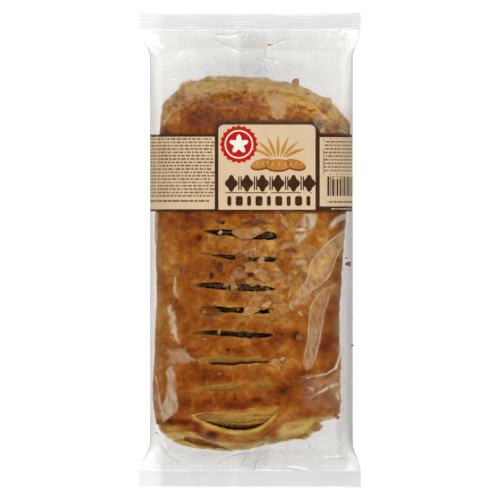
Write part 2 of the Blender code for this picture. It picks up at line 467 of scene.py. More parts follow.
# Painted highlights: where the film stands off the glazed crust it shows as a milk-white veil,
# whose white is partly the film's own haze and partly painted highlight in place of the softboxes'
# reflections. Each is how white, how white its rim is on top (a painted line of light), how soft the
# edge, and the outline of the place.
HIGHLIGHT_VEILS = [
    # right shoulder
    (0.2, 0.26, 0.6, ((44.3, 10.4), (38.3, 6.3), (33.8, 2.2), (30, -1.6), (27.4, -5.3), (26.3, -9.1),
     (25.9, -12.1), (24.4, -15.1), (22.1, -18.1), (20.6, -24.1), (24, -20.3), (28.5, -17.3), (33, -14.3),
     (34.9, -11.3), (36, -6.8), (38.3, -1.6), (41.3, 2.6), (46, 6.4))),
    (0.42, 0.1, 0.8, ((24.4, 16.6), (30.7, 16.6), (29.6, 10.4), (27.7, 8.7), (24.4, 9.9), (22.1, 11.4))),
    (0.52, 0.16, 0.4, ((18.7, 8.9), (23.6, 10.4), (28.5, 9), (23.6, 8))),
    (0.4, 0.1, 0.9, ((19.9, 7.5), (27.2, 8.3), (24.2, 4.4), (21.4, 2.1))),
    (0.38, 0.22, 0.7, ((34.7, 8.7), (36, 11.9), (38.2, 14.3), (40.9, 15.9), (44.4, 16.4), (45.4, 12),
     (42.5, 13.2), (39.5, 12.6), (37.1, 9.8))),
    (0.2, 0.22, 0.8, ((38.6, -15.1), (33.8, -17.3), (30, -21.1), (27.4, -24.8), (26.8, -30.1),
     (25.9, -40.6), (24.9, -46.3), (23.8, -51.5), (25.7, -54), (28.8, -50.6), (29.9, -46.3), (31.1, -40.6),
     (32.6, -32.3), (33.4, -27.1), (35.3, -21.8), (36, -18.8))),
    (0.22, 0, 1, ((24.6, -44), (29.6, -44), (28.6, -51), (25.7, -54), (23.6, -51.5))),
    (0.08, 0, 4, ((22, -55.5), (43, -53), (43, -75), (22, -73))),
    (0.4, 0, 0.9, ((24.2, -60.8), (28.9, -61.3), (29.6, -63.6), (27.4, -63.8))),
    (0.42, 0.1, 0.8, ((25.2, -67), (28.9, -64.7), (35, -60.2), (41.2, -58.7), (41.2, -61), (35.7, -62.5),
     (31.2, -64.7), (26.3, -67.2))),
    (0.33, 0, 1, ((37, -67.4), (38.7, -62.5), (41.4, -61), (41.6, -68))),
    (0.07, 0, 1.1, ((35.1, -12.8), (40.5, -14.6), (40.5, -20.9), (36, -20.9), (33.3, -25.4), (27.9, -22.7),
     (29.7, -15.5))),
    # left shoulder
    (0.36, 0.1, 0.7, ((-34.2, -11.5), (-32.8, -11.5), (-32.6, -17), (-31.2, -22.8), (-34.8, -19.5))),
    (0.44, 0, 1.3, ((-37.6, -25.9), (-36.6, -23.6), (-34.9, -24.5), (-32.4, -32.8), (-30.7, -43.2),
     (-33.1, -43.2), (-35.9, -36.2))),
    (0.24, 0, 2.2, ((-38, -43), (-30, -43), (-22.5, -49.5), (-24, -51), (-38, -52))),
    (0.36, 0, 1.1, ((-37.6, -53.4), (-36.4, -51.6), (-34.6, -52.2), (-33.4, -56), (-33.2, -62), (-32, -67),
     (-32, -72.5), (-35.5, -75.5), (-39.3, -78.2), (-40.8, -74), (-40.4, -70.5), (-38.4, -66),
     (-37.5, -61))),
    (0.38, 0, 0.4, ((-43.5, -54.6), (-42.6, -54.8), (-41.1, -60), (-40.1, -66), (-39.6, -72),
     (-40.5, -72.4), (-41.1, -66.8), (-42.1, -60.4))),
    (0.15, 0.06, 0.8, ((-43.4, -55.6), (-42.4, -55.6), (-40.4, -67.3), (-38.7, -76.9), (-42, -75),
     (-43.8, -67))),
    (0.34, 0, 0.5, ((-42.6, 17.2), (-41.2, 17.2), (-41.4, 4), (-42.4, -5.2))),
    # over the upper end of the pastry
    (0.2, 0, 0.8, ((-40.5, 53.3), (-34, 61.9), (-24.3, 67), (-13, 71), (5.6, 71.2), (15, 70.8),
     (24.5, 68.6), (33, 62.6), (40.6, 55.4), (46, 52), (46.5, 60), (36, 70), (20, 78), (5, 81), (-24, 80),
     (-34, 76), (-43, 66), (-43, 53))),
    (0.36, 0, 0.5, ((-23, 77.6), (-18.5, 79.6), (-8, 79.8), (6, 79), (11.5, 77.6), (14, 76), (9.5, 75.6),
     (-8, 77.2), (-17, 76.8))),
    (0.22, 0, 1, ((29.3, 63), (34.9, 58.4), (44.3, 53.5), (44, 52), (31, 52), (28, 57))),
    (0.5, 0, 0.4, ((31.1, 56.6), (33.2, 55.6), (34.9, 52.2), (31.4, 52.2))),
    (0.03, 0, 4, ((-42, 66), (-10, 71), (18, 70), (44, 52), (-44, 52))),
    # a painted highlight down the print
    (0.4, 0, 0.6, ((-42.6, 51.6), (-41.2, 51.6), (-40.9, 34), (-41.5, 17.6), (-42.5, 17.6))),
    # beside the long crease at the lower right
    (0.46, 0, 0.5, ((40.4, -30), (41.2, -36), (40.9, -48), (39.4, -53.4), (34, -56.4), (26, -57.8),
     (25, -57.2), (34, -55.2), (37.8, -52.6), (39.4, -48), (39.8, -42))),
    (0.15, 0, 2.5, ((25, -57.5), (34, -56.2), (41, -52), (41.5, -60.5), (35, -62), (27, -64))),
    (0.34, 0, 0.6, ((29, 63.6), (30.6, 63), (35.8, 58.4), (37.8, 56.8), (34.6, 57.6), (31, 60.6))),
    (0.34, 0, 0.5, ((10.6, 70), (15.6, 72.4), (21.5, 72.2), (28, 70.4), (21, 71.4), (15.2, 71))),
]
STREAKY_ABOVE = 1.05  # veils with a softer edge than this are the more even ones
# Crumbs that stand out: x, y, size, how far they are squashed
CRUMBS = (
    (20.7, 75.6, 3.9, 0.9), (19.6, 73.6, 2.6, 0.8), (8.8, 92.3, 1.7, 0.5), (44.2, -6.3, 2.9, 0.8),
    (43.4, -3.6, 1.6, 0.6), (-42, -82.3, 1.2, 0.6), (-41.2, -83.4, 0.8, 0.6), (46, -43, 1.5, 0.6),
    (28, 70.4, 1.1, 0.6), (-18.5, 77.6, 1.4, 0.7), (-26.5, 76.4, 1.1, 0.6), (30.2, 67, 1.6, 0.7),
)
LOOSE_HAZE = 0.22  # how white the film is where nothing touches it
SEAL_HAZE = 0.45
# how white the sharp folds are: partly the film's own whitening at a fold, partly painted highlight
CREASE_WHITE_AND_HIGHLIGHT = 0.54
MOST_GREY = 2.2
FOLD_HEIGHT = 0.34  # creases this high are folded sharp


def touched(x, y):
    """Where something lies under the film, from 0 to 1: the pastry, its crumbs and leaves, or the printed
    band. Also the distance from the pastry's outline."""
    unfrayed = y - frayed(x, y)
    away, _ = to_path(x, unfrayed, OUTLINE + OUTLINE[:1])
    # near both ends the film's haze is pulled in over the pastry's edge, painted over the shadow beside it
    haze_over_end_shadow = (0.4 + 0.3 * (y > 0)) * ease((abs(y) - 66) / 8)
    over = ease(0.5 + np.where(inside(x, unfrayed, OUTLINE), away, -away) - haze_over_end_shadow)
    for crumb_x, crumb_y, size, _ in CRUMBS:
        over = np.maximum(over, 0.9 * bell(x, y, crumb_x, crumb_y, 0.55 * size, 0.55 * size, 3.0))
    for leaf_x, leaf_y, length, width, turn, _, _ in LEAVES:
        along, aside = turned(x - leaf_x, y - leaf_y, -turn)
        over = np.maximum(over, 0.95 * bell(along, aside, 0, 0, 0.42 * length, 0.42 * width, 2.0))
    return np.maximum(over, ease((y - BAND_LOW) / 0.4) * ease((BAND_HIGH - y) / 0.4)), away


def veil_highlight(x, y, white, rim, soft, outline):
    """How white one veil is at points near it, partly painted highlight: broken up by patches and streaks
    inside its ragged outline, with a painted thin line of light along the outline."""
    ragged = 0.9 * soft * (noise(x, y, 1.6, 19) - 0.5)
    held = inside(x + ragged, y + ragged, outline)
    edge, _ = to_path(x + ragged, y + ragged, outline + outline[:1])
    drawn = np.where(y > 50, 1.0, 0.25)  # streaks run down the flanks, not over the upper end
    calm = 0.55 if soft > STREAKY_ABOVE else 0.0
    patchy = 0.35 + 0.7 * noise(x, y * drawn, 0.9, 9) + 0.6 * noise(x, y, 3.0, 10)
    gaps = 0.35 + 0.65 * ease((noise(x + 0.3 * y, y * (0.05 + drawn), 1.3, 20) - 0.22) / 0.3)
    patchy, gaps = patchy * (1 - calm) + calm, gaps * (1 - calm) + calm
    line = rim * np.exp(-((edge / 0.36) ** 2)) * ease(noise(x, y, 3.5, 18) * 1.6 - 0.2)
    return white * patchy * gaps * held * ease(edge / soft) + line


def veil(x, y, creased, veils=()):
    """The film's flags: how white it is, from a loose film's own share off the pastry, each given
    veil's share, which is partly painted highlight, painted glints over the topping, more along the
    creases, partly painted highlight, and painted light down the left side; over, 1 where something
    lies under it; shine, the share that it mirrors head on; how much light it keeps back, in clouds,
    with more in the seals and over the lower end, painted shade, partly doubled film, in a band just
    beyond the pastry's upper end, painted shade down the right side, and less over the upper left and,
    as painted light, down the left side; and wall, 1 on the steep sides of the tube."""
    over, away = touched(x, y)
    free = 1 - over
    between_seals = ease(from_seal(y) / 20)
    haze = LOOSE_HAZE * free * (0.85 + 0.3 * noise(x, y, 6.0, 12) + np.exp(-(away**2)))
    haze = haze + (SEAL_HAZE - LOOSE_HAZE) * ease(-from_seal(y))
    # painted glints over the topping
    glints = 0.14 * ease((noise(x, y, 1.9, 13) - 0.66) / 0.2)
    haze = np.maximum(haze, over * bell(x, y, 6, -8, 20, 26) * glints)
    for white, rim, soft, outline in veils:
        near = boxed(x, y, outline)
        if near.any():
            haze[near] = np.maximum(haze[near], veil_highlight(x[near], y[near], white, rim, soft, outline))
    # whiter along the creases: partly the film's own whitening at a fold, partly painted highlight
    haze = haze + 0.12 * creased * (1 - 0.5 * over)
    # painted light: whiter down the left side of the tube
    haze = haze + 0.14 * free * ease((-38 - x) / 4) * between_seals

    grey = 0.02 + 0.16 * (0.5 + 0.5 * mottle(x * 0.6, y, 9.0, 61, 4))
    grey = grey + 0.30 * free * ease(1 + from_seal(y)) + 0.55 * ease(-from_seal(y))
    # more over the lower end, and painted shade, partly doubled film, in a band beyond the pastry's upper
    # end
    grey = grey + 0.34 * ease((-70 - y) / 14) + 0.45 * bell(x, y, 2, 80, 28, 5)
    grey = grey - 0.10 * ease((-15 - x) / 15) * ease((y - 55) / 10)
    # painted light: less held back down the left side
    grey = grey * (1 - 0.8 * ease((-38 - x) / 4))
    # painted shade down the right side of the tube
    grey = grey + 1.75 * free * ease((x - 38) / 4) * ease((66 - y) / 10) * between_seals
    wall = ease((abs(across_of(x, y)) - 0.84) / 0.10) * ease(from_seal(y) / 14)
    return {"milky": haze, "over": over, "shine": 0.004 + 0.028 * free,
            "grey": np.clip(grey, 0, MOST_GREY), "wall": wall}



def film_stations():
    """Places along Y, closer together in the ribbed seals than between them."""
    seal_steps = np.arange(0, SEAL_DEPTH + 1, 0.28)
    half = PACK_LENGTH / 2
    body = np.linspace(-half + seal_steps[-1], half - seal_steps[-1], 372)
    return np.concatenate([-half + seal_steps[:-1], body, half - seal_steps[:-1][::-1]])


def spread(count, crowding=0.25):
    """Shares from -1 to 1, closer together near both ends."""
    share = np.linspace(-1, 1, count)
    return share * (1 + crowding - crowding * share * share)


TOP_COLUMNS, BASE_COLUMNS = 196, 92


def film_grid(columns):
    """A web's grid of stations along Y by shares across: x, y, share, the height of its side folds there,
    and how far it is open, which falls to 0 at both closed ends."""
    y = film_stations()[:, None]
    share = spread(columns)[None, :] * np.ones_like(y)
    y = y * np.ones_like(share)
    closing = 1 - ease(abs(y) - PACK_LENGTH / 2 + 1.0)
    width = share * half_width(y)
    return middle_x(y) + width, y, share, fold_height(width, y), closing


def make_film(material):
    """The two webs of the tube, which meet along both side folds and close flat at both ends: each is a
    grid of stations along Y by shares across."""
    x, y, share, seal_line, closing = film_grid(TOP_COLUMNS)
    lift, creased = wrinkles(share, y)
    top = seal_line + (smooth_top(share, y) - seal_line) * closing + lift
    flags = veil(x, y, creased, HIGHLIGHT_VEILS)
    make_piece("film_top", point_list(x, y, top), grid_faces(*x.shape), material, flags)

    x, y, share, seal_line, closing = film_grid(BASE_COLUMNS)
    swell = 0.25 * mottle(x, y, 8.0, 31) * ease((smooth_base(share, y) - 1.0) / 2.0)
    swell = swell * (1 - ease(-from_seal(y) / 0.5)) * ease((1 - abs(share)) / 0.08)
    base = seal_line + (smooth_base(share, y) - seal_line) * closing + ribs(y) + swell
    points = point_list(x, y, np.maximum(base, 0.2))
    faces = grid_faces(*x.shape)[:, ::-1]
    make_piece("film_base", points, faces, material, veil(x, y, 0.0))


def eased_path(path, steps):
    """Points at even steps along a path of straight legs, its corners rounded by averaging each point with
    its neighbours."""
    corners = np.array(path, float)
    far = np.concatenate([[0], np.cumsum(np.hypot(*np.diff(corners, axis=0).T))])
    even = np.linspace(0, far[-1], steps)
    points = np.stack([np.interp(even, far, corners[:, 0]), np.interp(even, far, corners[:, 1])], -1)
    for _ in range(steps // 5):
        points[1:-1] = (points[:-2] + 2 * points[1:-1] + points[2:]) / 4
    return points


def make_crease_lines(material):
    """The sharp folds themselves: a low rounded ridge, drawn out to nothing at both ends, carried along
    every listed crease that is high enough."""
    steps, columns = 36, 5
    across = np.linspace(-1, 1, columns)[None, :]
    taper = np.sin(np.pi * np.linspace(0, 1, steps)) ** 0.6
    places, lifts = [], []
    folds = [crease for crease in CREASES if crease[0] >= FOLD_HEIGHT]
    for _, width, path in folds:
        line = eased_path(path, steps)
        heading = np.gradient(line, axis=0)
        heading /= np.hypot(heading[:, 0], heading[:, 1])[:, None]
        uneven = 0.55 + 0.9 * noise(line[:, 0], line[:, 1], 2.6, 77)
        half = (0.42 * width * taper * uneven)[:, None]
        x = line[:, :1] - heading[:, 1:] * half * across
        y = line[:, 1:] + heading[:, :1] * half * across
        places.append(np.stack([x, y], -1))
        lifts.append(0.03 + 0.9 * half * (1 - across**2))
    x, y = np.moveaxis(np.array(places), -1, 0)
    z = film_top(across_of(x, y), y) + np.array(lifts)
    flags = veil(x, y, 0.0, HIGHLIGHT_VEILS)
    # the folds are whitened, partly as film whitened in a fold and partly as painted highlight
    strength = ease((np.array([height for height, _, _ in folds]) - 0.26) / 0.22)[:, None, None]
    fold_white_and_highlight = CREASE_WHITE_AND_HIGHLIGHT * strength * (0.25 + 1.1 * noise(x, y, 3.0, 78))
    flags["milky"] = np.maximum(flags["milky"], fold_white_and_highlight)
    flags["shine"] = 3 * flags["shine"]
    faces = many_grids(len(folds), steps, columns)[:, ::-1]
    make_piece("film_creases", point_list(x, y, z), faces, material, flags)


def make_lap_seam(material):
    """The tube's lap seam: one more layer of film in a narrow ribbed strip along the middle of the
    underside."""
    end = PACK_LENGTH / 2 - SEAL_DEPTH - 1
    y = np.linspace(-end, end, 400)[:, None]
    x = 2.0 + 0.3 * np.sin(y / 17) + np.linspace(-6, 6, 9)[None, :]
    y = y * np.ones_like(x)
    under = np.maximum(smooth_base(across_of(x, y), y) - 0.12, 0.1)
    z = under + 0.03 * np.sin(2 * np.pi * y / RIB_PITCH)
    flags = veil(x, y, 0.0)
    flags["milky"], flags["grey"] = np.full(x.size, 0.03), np.zeros(x.size)
    faces = grid_faces(*x.shape)[:, ::-1]
    make_piece("lap_seam", point_list(x, y, z), faces, material, flags)


# ------------------------------------------------------------------ the pastry
SIDE_ROUND = 6.5  # how far in from its edge the top has rounded up to its full height
UNDER_ROUND = 6.0
FILM_GAP = 1.5  # the crust lies this far under the film, and the almonds fill the gap

# The cuts across the middle strip: the share of the opening that its pale upper wall takes, the depth, the
# depth of the filling in it, how far in from the left it climbs out, and points along it as x, upper edge
# and lower edge
SLITS = (
    (0.3, 1.6, 9, 4, ((-15.6, 12.8, 12.5), (-14.5, 13.5, 11.7), (-12.2, 13.6, 11.5), (-11.3, 12.8, 12.4))),
    (0.06, 5, 3, 8, ((-22.2, 8.7, 8.5), (-20, 9.3, 7.9), (-16.5, 9.4, 6.9), (-12, 9.2, 6.4), (-8.5, 9, 6.4),
     (-3, 6.2, 5.2), (2, 5.9, 4.9), (5.9, 8, 4.7), (8.5, 8.6, 4.6), (10.8, 8.2, 4.9), (12.2, 6.2, 5.8))),
    (0.1, 4.5, 2.4, 19, ((-24.2, -1.3, -1.5), (-22.5, -0.6, -2.3), (-19, -0.9, -2.5), (-17.6, -1.5, -2),
     (-16.5, -1.6, -2.9), (-12, -2, -3.7), (-9.5, -2, -4), (-5.5, -2.3, -4.4), (-2, -3, -4.6),
     (1.5, -3.2, -5), (6, -3, -5.3), (9.5, -3.1, -5.5), (11.4, -3.5, -5.1), (12.1, -4.1, -4.5))),
    (0.08, 5, 2.7, 9, ((-26.6, -15.6, -15.8), (-24.5, -15, -16.6), (-21.5, -14.7, -16.9),
     (-17.5, -14.4, -17.2), (-13.5, -14.6, -17.6), (-9, -15.6, -18.1), (-5.5, -15.1, -18.4),
     (0, -15.3, -18.7), (5, -16, -18.7), (9, -16.7, -18.2), (11.1, -17.4, -17.8))),
    (0.12, 6, 3.4, 10, ((-25, -25.6, -25.8), (-21, -25.2, -26.2), (-16.5, -25.2, -27.2),
     (-11.5, -25.6, -27.9), (-6.5, -25.7, -28.1), (-3.3, -25.6, -28), (2, -26.2, -28.4), (6, -27, -28.8),
     (8.5, -26.2, -28.4), (10.8, -26.4, -27))),
    (0.3, 6, 3.2, 16, ((-27.2, -36.9, -37.1), (-25.5, -36.3, -38), (-21.6, -35.8, -38.2),
     (-15.6, -35.8, -38.4), (-10, -36, -38.8), (-4, -36.3, -39.1), (1, -36.6, -39.4), (5, -37, -39.4),
     (8.5, -37.5, -39), (11.2, -38.1, -38.4))),
    (0.8, 1.5, 9, 8, ((-23.3, -49.2, -49.6), (-22.5, -48.4, -51), (-19, -47.9, -51.4), (-12, -47.7, -51.6),
     (-7, -47.9, -51.6), (-2.5, -48.2, -51), (3, -48.5, -50.9), (7, -48.7, -50.9), (8.6, -49.6, -50))),
    (0.92, 0.8, 9, 8, ((-26, -62.2, -62.4), (-23, -61.4, -62.9), (-18, -60.6, -63.2), (-13, -60.2, -63.5),
     (-8, -59.4, -63.2), (-5, -59.5, -62.4), (-4, -60.2, -60.6))),
    (0.92, 0.8, 9, 6, ((-0.4, -60, -60.8), (0.8, -59.2, -61.9), (4.2, -58.8, -62.1), (7.5, -59.2, -61.9),
     (9.8, -59.8, -61.1), (11.2, -60.4, -60.6))),
)
SLIT_DEEPEST = 6.0  # filling said to be deeper than this is left out

# The open end: a mouth between the last strip's edge and a rolled lip that curves under it
MOUTH_LEFT, MOUTH_RIGHT, MOUTH_MIDDLE = -26.6, 13.4, -5.0
LIP_WIDTH = 5.0
LAYER_STEP = 3.4  # how far below the upper edge the second layer of dough begins


def mouth_top(x):
    """The last strip's edge over the open end, a gentle slope with a slight wave."""
    return -73.6 + 3.9 * (x - MOUTH_LEFT) / (MOUTH_RIGHT - MOUTH_LEFT) + 0.25 * np.sin(x * 0.55)


def mouth_bottom(x):
    """The lip's inner edge, a bowl that is steeper on its right."""
    on_left = x < MOUTH_MIDDLE
    t = (x - MOUTH_MIDDLE) / np.where(on_left, MOUTH_LEFT - MOUTH_MIDDLE, MOUTH_RIGHT - MOUTH_MIDDLE)
    t = np.clip(t, 0, 1.15)
    return -81.0 + np.where(on_left, 7.1 * t**1.8, 10.8 * t**2.6)


def filling_edge(x):
    """The filling's upper edge in the mouth, a flat arch."""
    return -78.3 + 0.9 * ((x - MOUTH_MIDDLE) / 13) ** 2


def crust_end(x):
    """Where the baked crust stops and the pale cut dough begins, towards -Y."""
    places = (-44, -38, -32, -27, -24, -19, -14, -8, -1, 3.7, 8, 12.4, 15, 21, 28.5, 33.7, 41)
    ends = (-82.5, -81.4, -81, -80.6, -81.6, -84.6, -85.7, -86.1, -86.1, -85, -83.1, -79.7, -76.7, -74.9,
            -74.2, -72.8, -72.4)
    return np.interp(x, places, ends) + 0.5 * ripple(x, 3.0, 3)


# Broad parts of the crust that are browner (above 0) or more golden (below 0): x, y, half sizes, how much
BROAD_TONES = (
    (-14, -12, 11, 16, 0.12), (-13, -40, 12, 10, 0.13), (-37, -20, 5, 40, -0.14), (22, -4, 9, 16, -0.2),
    (38, -42, 7, 16, 0.12), (9, -39, 7, 5, 0.12), (-2, -11, 6, 5, 0.14), (-24, 12, 12, 4, 0.1),
    (-12, -56, 14, 5, 0.08), (2, -67, 22, 3, 0.08), (33, 10, 8, 8, -0.05), (19, -63, 6, 4, 0.06),
    (34, -3, 8, 9, -0.24), (28, -14, 5, 6, -0.18), (29, -34, 4, 14, -0.12), (-38, -62, 5, 8, -0.1),
    (27, -24, 5, 7, -0.12), (35, -69, 7, 4, 0.2), (-36, 60, 5, 5, 0.06), (33, 60, 8, 4, 0.12),
    (19, -10, 5, 7, -0.1), (-34, 6, 7, 8, -0.08), (40, -4, 3, 26, 0.16), (-31, 67.5, 8, 4.5, 0.14),
    (-4, 62, 9, 3, -0.16),
)
# Spots baked darker (above 0) or left more golden (below 0): x, y, half sizes, how much
SPOTS = (
    (-22.8, 5.4, 1.4, 1.3, 0.7), (-13.6, -7.4, 1.1, 1.9, 0.9), (-17.3, -11.2, 0.8, 1.5, 0.9),
    (-9.8, -44.8, 0.6, 0.6, 1), (-15, -57, 7, 3, 0.2), (17, -62, 5, 2.6, 0.16),
    (-18, -67.5, 1.8, 1.3, 0.18), (3.2, -67.2, 2.6, 1.2, 0.5), (-6.5, -67, 1.6, 1.1, 0.18),
    (23, -55.5, 6, 3, 0.2), (36.2, -29, 2.4, 4, 0.16), (-17.2, -83.1, 2.5, 1.3, 0.85),
    (-23.5, -79, 2, 3, 0.36), (8.5, 10.5, 3, 1.8, -0.25), (8, 2, 6, 2.4, -0.2), (-15, 2.6, 4.2, 2, -0.2),
    (22.5, -8, 3.5, 3.5, -0.15), (10.5, -21.5, 4, 2.5, -0.12), (14.5, -33, 5, 3, -0.15),
    (13.5, -53, 5.5, 5.5, -0.15), (-6.5, -41, 6, 2.4, -0.15), (-36, -30, 4, 9, -0.2),
    (-24, 57, 12, 4, 0.08), (-8, -69.5, 20, 2, 0.18), (-34, -80.2, 7, 1.5, -0.25),
    (-32, -77.2, 8, 1.4, 0.34), (-33, -27, 2.5, 5, 0.25), (-28, -45, 4, 1.5, 0.2),
    (20.5, -38.5, 2.6, 2, 0.4), (39.6, -4.4, 2, 1.3, 0.35), (33.5, -44.5, 3.4, 5, 0.12),
    (-41, -36, 3, 6, 0.12), (30.6, -8.6, 4.5, 4.5, -0.2), (25.4, -17.4, 3, 3, 0.16), (40, 14, 3, 2, 0.35),
    (-1.9, 72.8, 0.9, 0.8, 0.5), (-31, 67.5, 7, 4, 0.28), (14, -64, 3, 1.8, 0.16), (-4, 62, 8, 3, -0.1),
    # the pale spots at x -41.5 and -42 on the left rim are partly painted light against its shade
    (-41.5, -24, 3, 12, -0.12), (-42, -48, 3, 8, -0.16), (-3, -84.8, 13, 1.9, -0.17),
    (11.8, -78.4, 3.4, 3.6, -0.12), (19.5, 61.5, 4, 5, 0.14), (32, 56, 6, 2.5, 0.22),
    (-2.3, 70.8, 0.8, 1.2, 0.25), (-5.4, 67.2, 1.8, 1.2, 0.4), (-10, 63.8, 5, 0.9, -0.4),
    (-36.5, 63, 3, 2.5, 0.2), (-22, 60.5, 6, 2.5, 0.06), (-14.5, 76.8, 2, 0.4, 0.4),
    (33.5, 64, 1.9, 3, 0.55), (24, 64, 1.6, 0.6, 0.45), (27.8, 62.5, 2.4, 0.6, 0.42), (40, 56, 5, 3, 0.25),
    (30, 57, 4, 3, 0.25), (26, 70.2, 0.8, 0.5, 0.7), (10.6, 70.6, 2.2, 1, 0.28), (-27, 15.5, 5, 3, 0.18),
    (0, -10.6, 1.6, 1.5, 0.6), (-8.5, 16, 4, 1.2, 0.25),
)
# How dark the rolled upper end is at each depth from the outline, on its left and on its right
ROLL_DEPTHS = (0.0, 5.0, 8.0, 10.5, 12.5, 16.0, 22.0)
ROLL_LEFT = (0.03, 0.06, 0.20, 0.42, 0.60, 0.66, 0.70)
ROLL_RIGHT = (0.02, 0.02, 0.05, 0.12, 0.28, 0.50, 0.62)
# Thin cracks in the bare dough of the lower end
BARE_CRACKS = (
    ((-24.3, -82.7), (-21.3, -83.5), (-20.9, -86.1)),
    ((-21.3, -83.5), (-18.4, -85.4), (-15.3, -86.5)),
    ((-29.4, -84.0), (-26.0, -84.7), (-22.0, -85.6), (-17.0, -86.9), (-12.0, -88.6)),
)
# A brown fold that runs along the lower end's left
BROWN_FOLD = ((-29.6, -84.9), (-26.0, -85.8), (-22.0, -86.8), (-17.0, -88.0), (-11.0, -89.5))
# Flakes of brown crust that lie on the bare dough: x, y, half sizes
BARE_SPOTS = (
    (-16.8, -83.2, 3, 1.6), (-23.5, -79, 2.6, 3.2), (10.4, -83, 2.9, 2.6), (30.3, -79.6, 2.2, 1.9),
    (23.4, -84.2, 3.2, 1.1), (-30, -88, 6, 1.2), (-2, 73, 1.7, 1),
)
CRUST_FLAGS = ("bake", "dough", "paste", "tone")


def slit_form(x, y, slit):
    """For one cut: how far down its upper wall each point lies, 0 at the lip and 1 at the floor, how deep
    it is cut there, how near the lips a point outside lies, and whether it is in the opening. The edges run
    straight between the points, with a small random wobble."""
    wall, depth, _, climb, points = slit
    places, upper, lower = np.array(points).T
    left, right = places[0], places[-1]
    high = np.interp(x, places, upper) + 0.6 * ripple(x, 3.1, 40, upper[0])
    low = np.interp(x, places, lower) + 0.6 * ripple(x, 2.3, 42, lower[0])
    gap = np.where((x > left) & (x < right), np.maximum(high - low, 0), 0)
    within = (y < high) & (y > low) & (gap > 0.15)
    fall = np.clip((high - y) / np.maximum(wall * gap, 0.35), 0, 1)
    rise = np.clip((y - low) / 0.3, 0, 1)
    shallow = 0.25 + 0.75 * ease((x - left) / climb)
    full = depth * shallow * np.sqrt(np.clip(gap / 1.6, 0, 1))
    cut = np.where(within, full * np.minimum(fall, rise), 0)
    outside = np.maximum(np.maximum(y - high, low - y), 0)
    near = np.exp(-((outside / 1.6) ** 2)) * ease((x - left + 3) / 5) * ease((right + 3 - x) / 5)
    return fall * shallow, cut, near, within


def edge_height(y):
    """Height of the pastry's rim: lower at the open end and raised at the rolled one."""
    return 8.2 - 1.8 * ease((-70 - y) / 20) + 2.3 * ease((y - 62) / 14)


def crust_top(x, y):
    """Height of the pastry's top without its cuts, and the distance from the outline. It hugs the film.
    From its rim it climbs by a quarter circle at the sides, and at the ends by 1 - (1 - t)^2.2, which is
    less steep, with t the share of the rounded border."""
    away, _ = to_path(x, y, OUTLINE + OUTLINE[:1])
    hull = smooth_top(across_of(x, y), y) - FILM_GAP
    hull = hull - 2.0 * ease((-62 - y) / 28) - ease((y - 60) / 18)
    edge = edge_height(y)
    t = np.clip(away / SIDE_ROUND, 0, 1)
    at_ends = ease((y - 64) / 8) + ease((-80 - y) / 6)
    rounded = quarter_round(t) * (1 - at_ends) + (1 - (1 - t) ** 2.2) * at_ends
    return edge + np.maximum(hull - edge, 0.5) * rounded, away


def baked_crust(x, y, away):
    """The crust before its cuts. relief is its height over the smooth top, with low swells, blisters and
    plates of glaze. bake is how dark it is: clouds of three sizes, golden at the rim, partly as painted
    light against the shade of its steep sides, and under the almonds, the glazed plates, the broad tones
    and a few pale pinholes. The rest starts at 0."""
    relief = 0.45 * mottle(x, y, 9.0, 21, 2) + 0.24 * mottle(x, y, 3.2, 22)
    relief = relief + 0.35 * bell(x, y, 2, -8, 20, 26) * mottle(x, y, 2.4, 26, 2)
    bake = 0.51 + 0.09 * mottle(x, y, 15.0, 23, 2) + 0.15 * mottle(x, y, 5.2, 24)
    bake = bake + 0.06 * mottle(x, y, 2.2, 22, 2) + 0.06 * ease((-14 - x) / 14)
    # paler at the rim: partly the crust's golden colour, partly painted light against its steep sides'
    # shade
    bake = bake - 0.20 * ease(1 - away / 7) - 0.08 * bell(x, y, 2, -8, 20, 26)
    patch, _ = facets(x + 0.8 * mottle(x, y, 2.0, 56, 2), y + 0.8 * mottle(x, y, 2.0, 57, 2), 2.7, 58)
    bake = bake + 0.16 * (patch - 0.5)
    for *place, much in BROAD_TONES:
        bake = bake + much * bell(x, y, *place)
    glazed = bell(x, y, 6, -8, 24, 28)
    cell, line = facets(x + 1.5 * mottle(x, y, 5.0, 52, 2), y, 6.4, 53)
    bake = bake + glazed * (0.34 * (cell - 0.5) - 0.12 * line * (cell > 0.55))
    bake = bake - 0.08 * bell(x, y, 11, -6, 15, 20)
    relief = relief + glazed * (0.30 * (cell - 0.5) + 0.15 * line)
    pinholes = ease((noise(x, y, 1.1, 25) - 0.86) / 0.1)
    bake = bake - 0.22 * pinholes * ease(noise(x, y, 8.0, 31) * 2 - 0.8)
    skin = {flag: np.zeros_like(x) for flag in ("dough", "paste", "cut", "cut_tone_and_shade")}
    return {"relief": relief, "bake": bake, **skin}


def cut_slits(skin, x, y):
    """Sinks the cuts: pale dough, darkened down the wall by painted shade, and filling on the floor of the
    deep ones, with lips that dip and are more golden."""
    for slit in SLITS:
        fall, deep, near, within = slit_form(x, y, slit)
        lips = near * (1 - within)
        skin["relief"] -= 0.5 * lips
        skin["bake"] -= 0.12 * lips
        skin["cut"] = np.maximum(skin["cut"], deep)
        skin["dough"] = np.maximum(skin["dough"], within)
        filled = ease((fall - 0.72) / 0.22) * np.clip(slit[1] - 0.5, 0.35, 1)
        skin["paste"] = np.maximum(skin["paste"], within * filled)
        # painted shade: the dough darkens down the wall of each cut towards its floor, more in the deeper
        # cuts
        darker = 0.22 if slit[1] > 1 else 0.14
        skin["cut_tone_and_shade"] = np.where(within, 0.30 - darker * fall, skin["cut_tone_and_shade"])


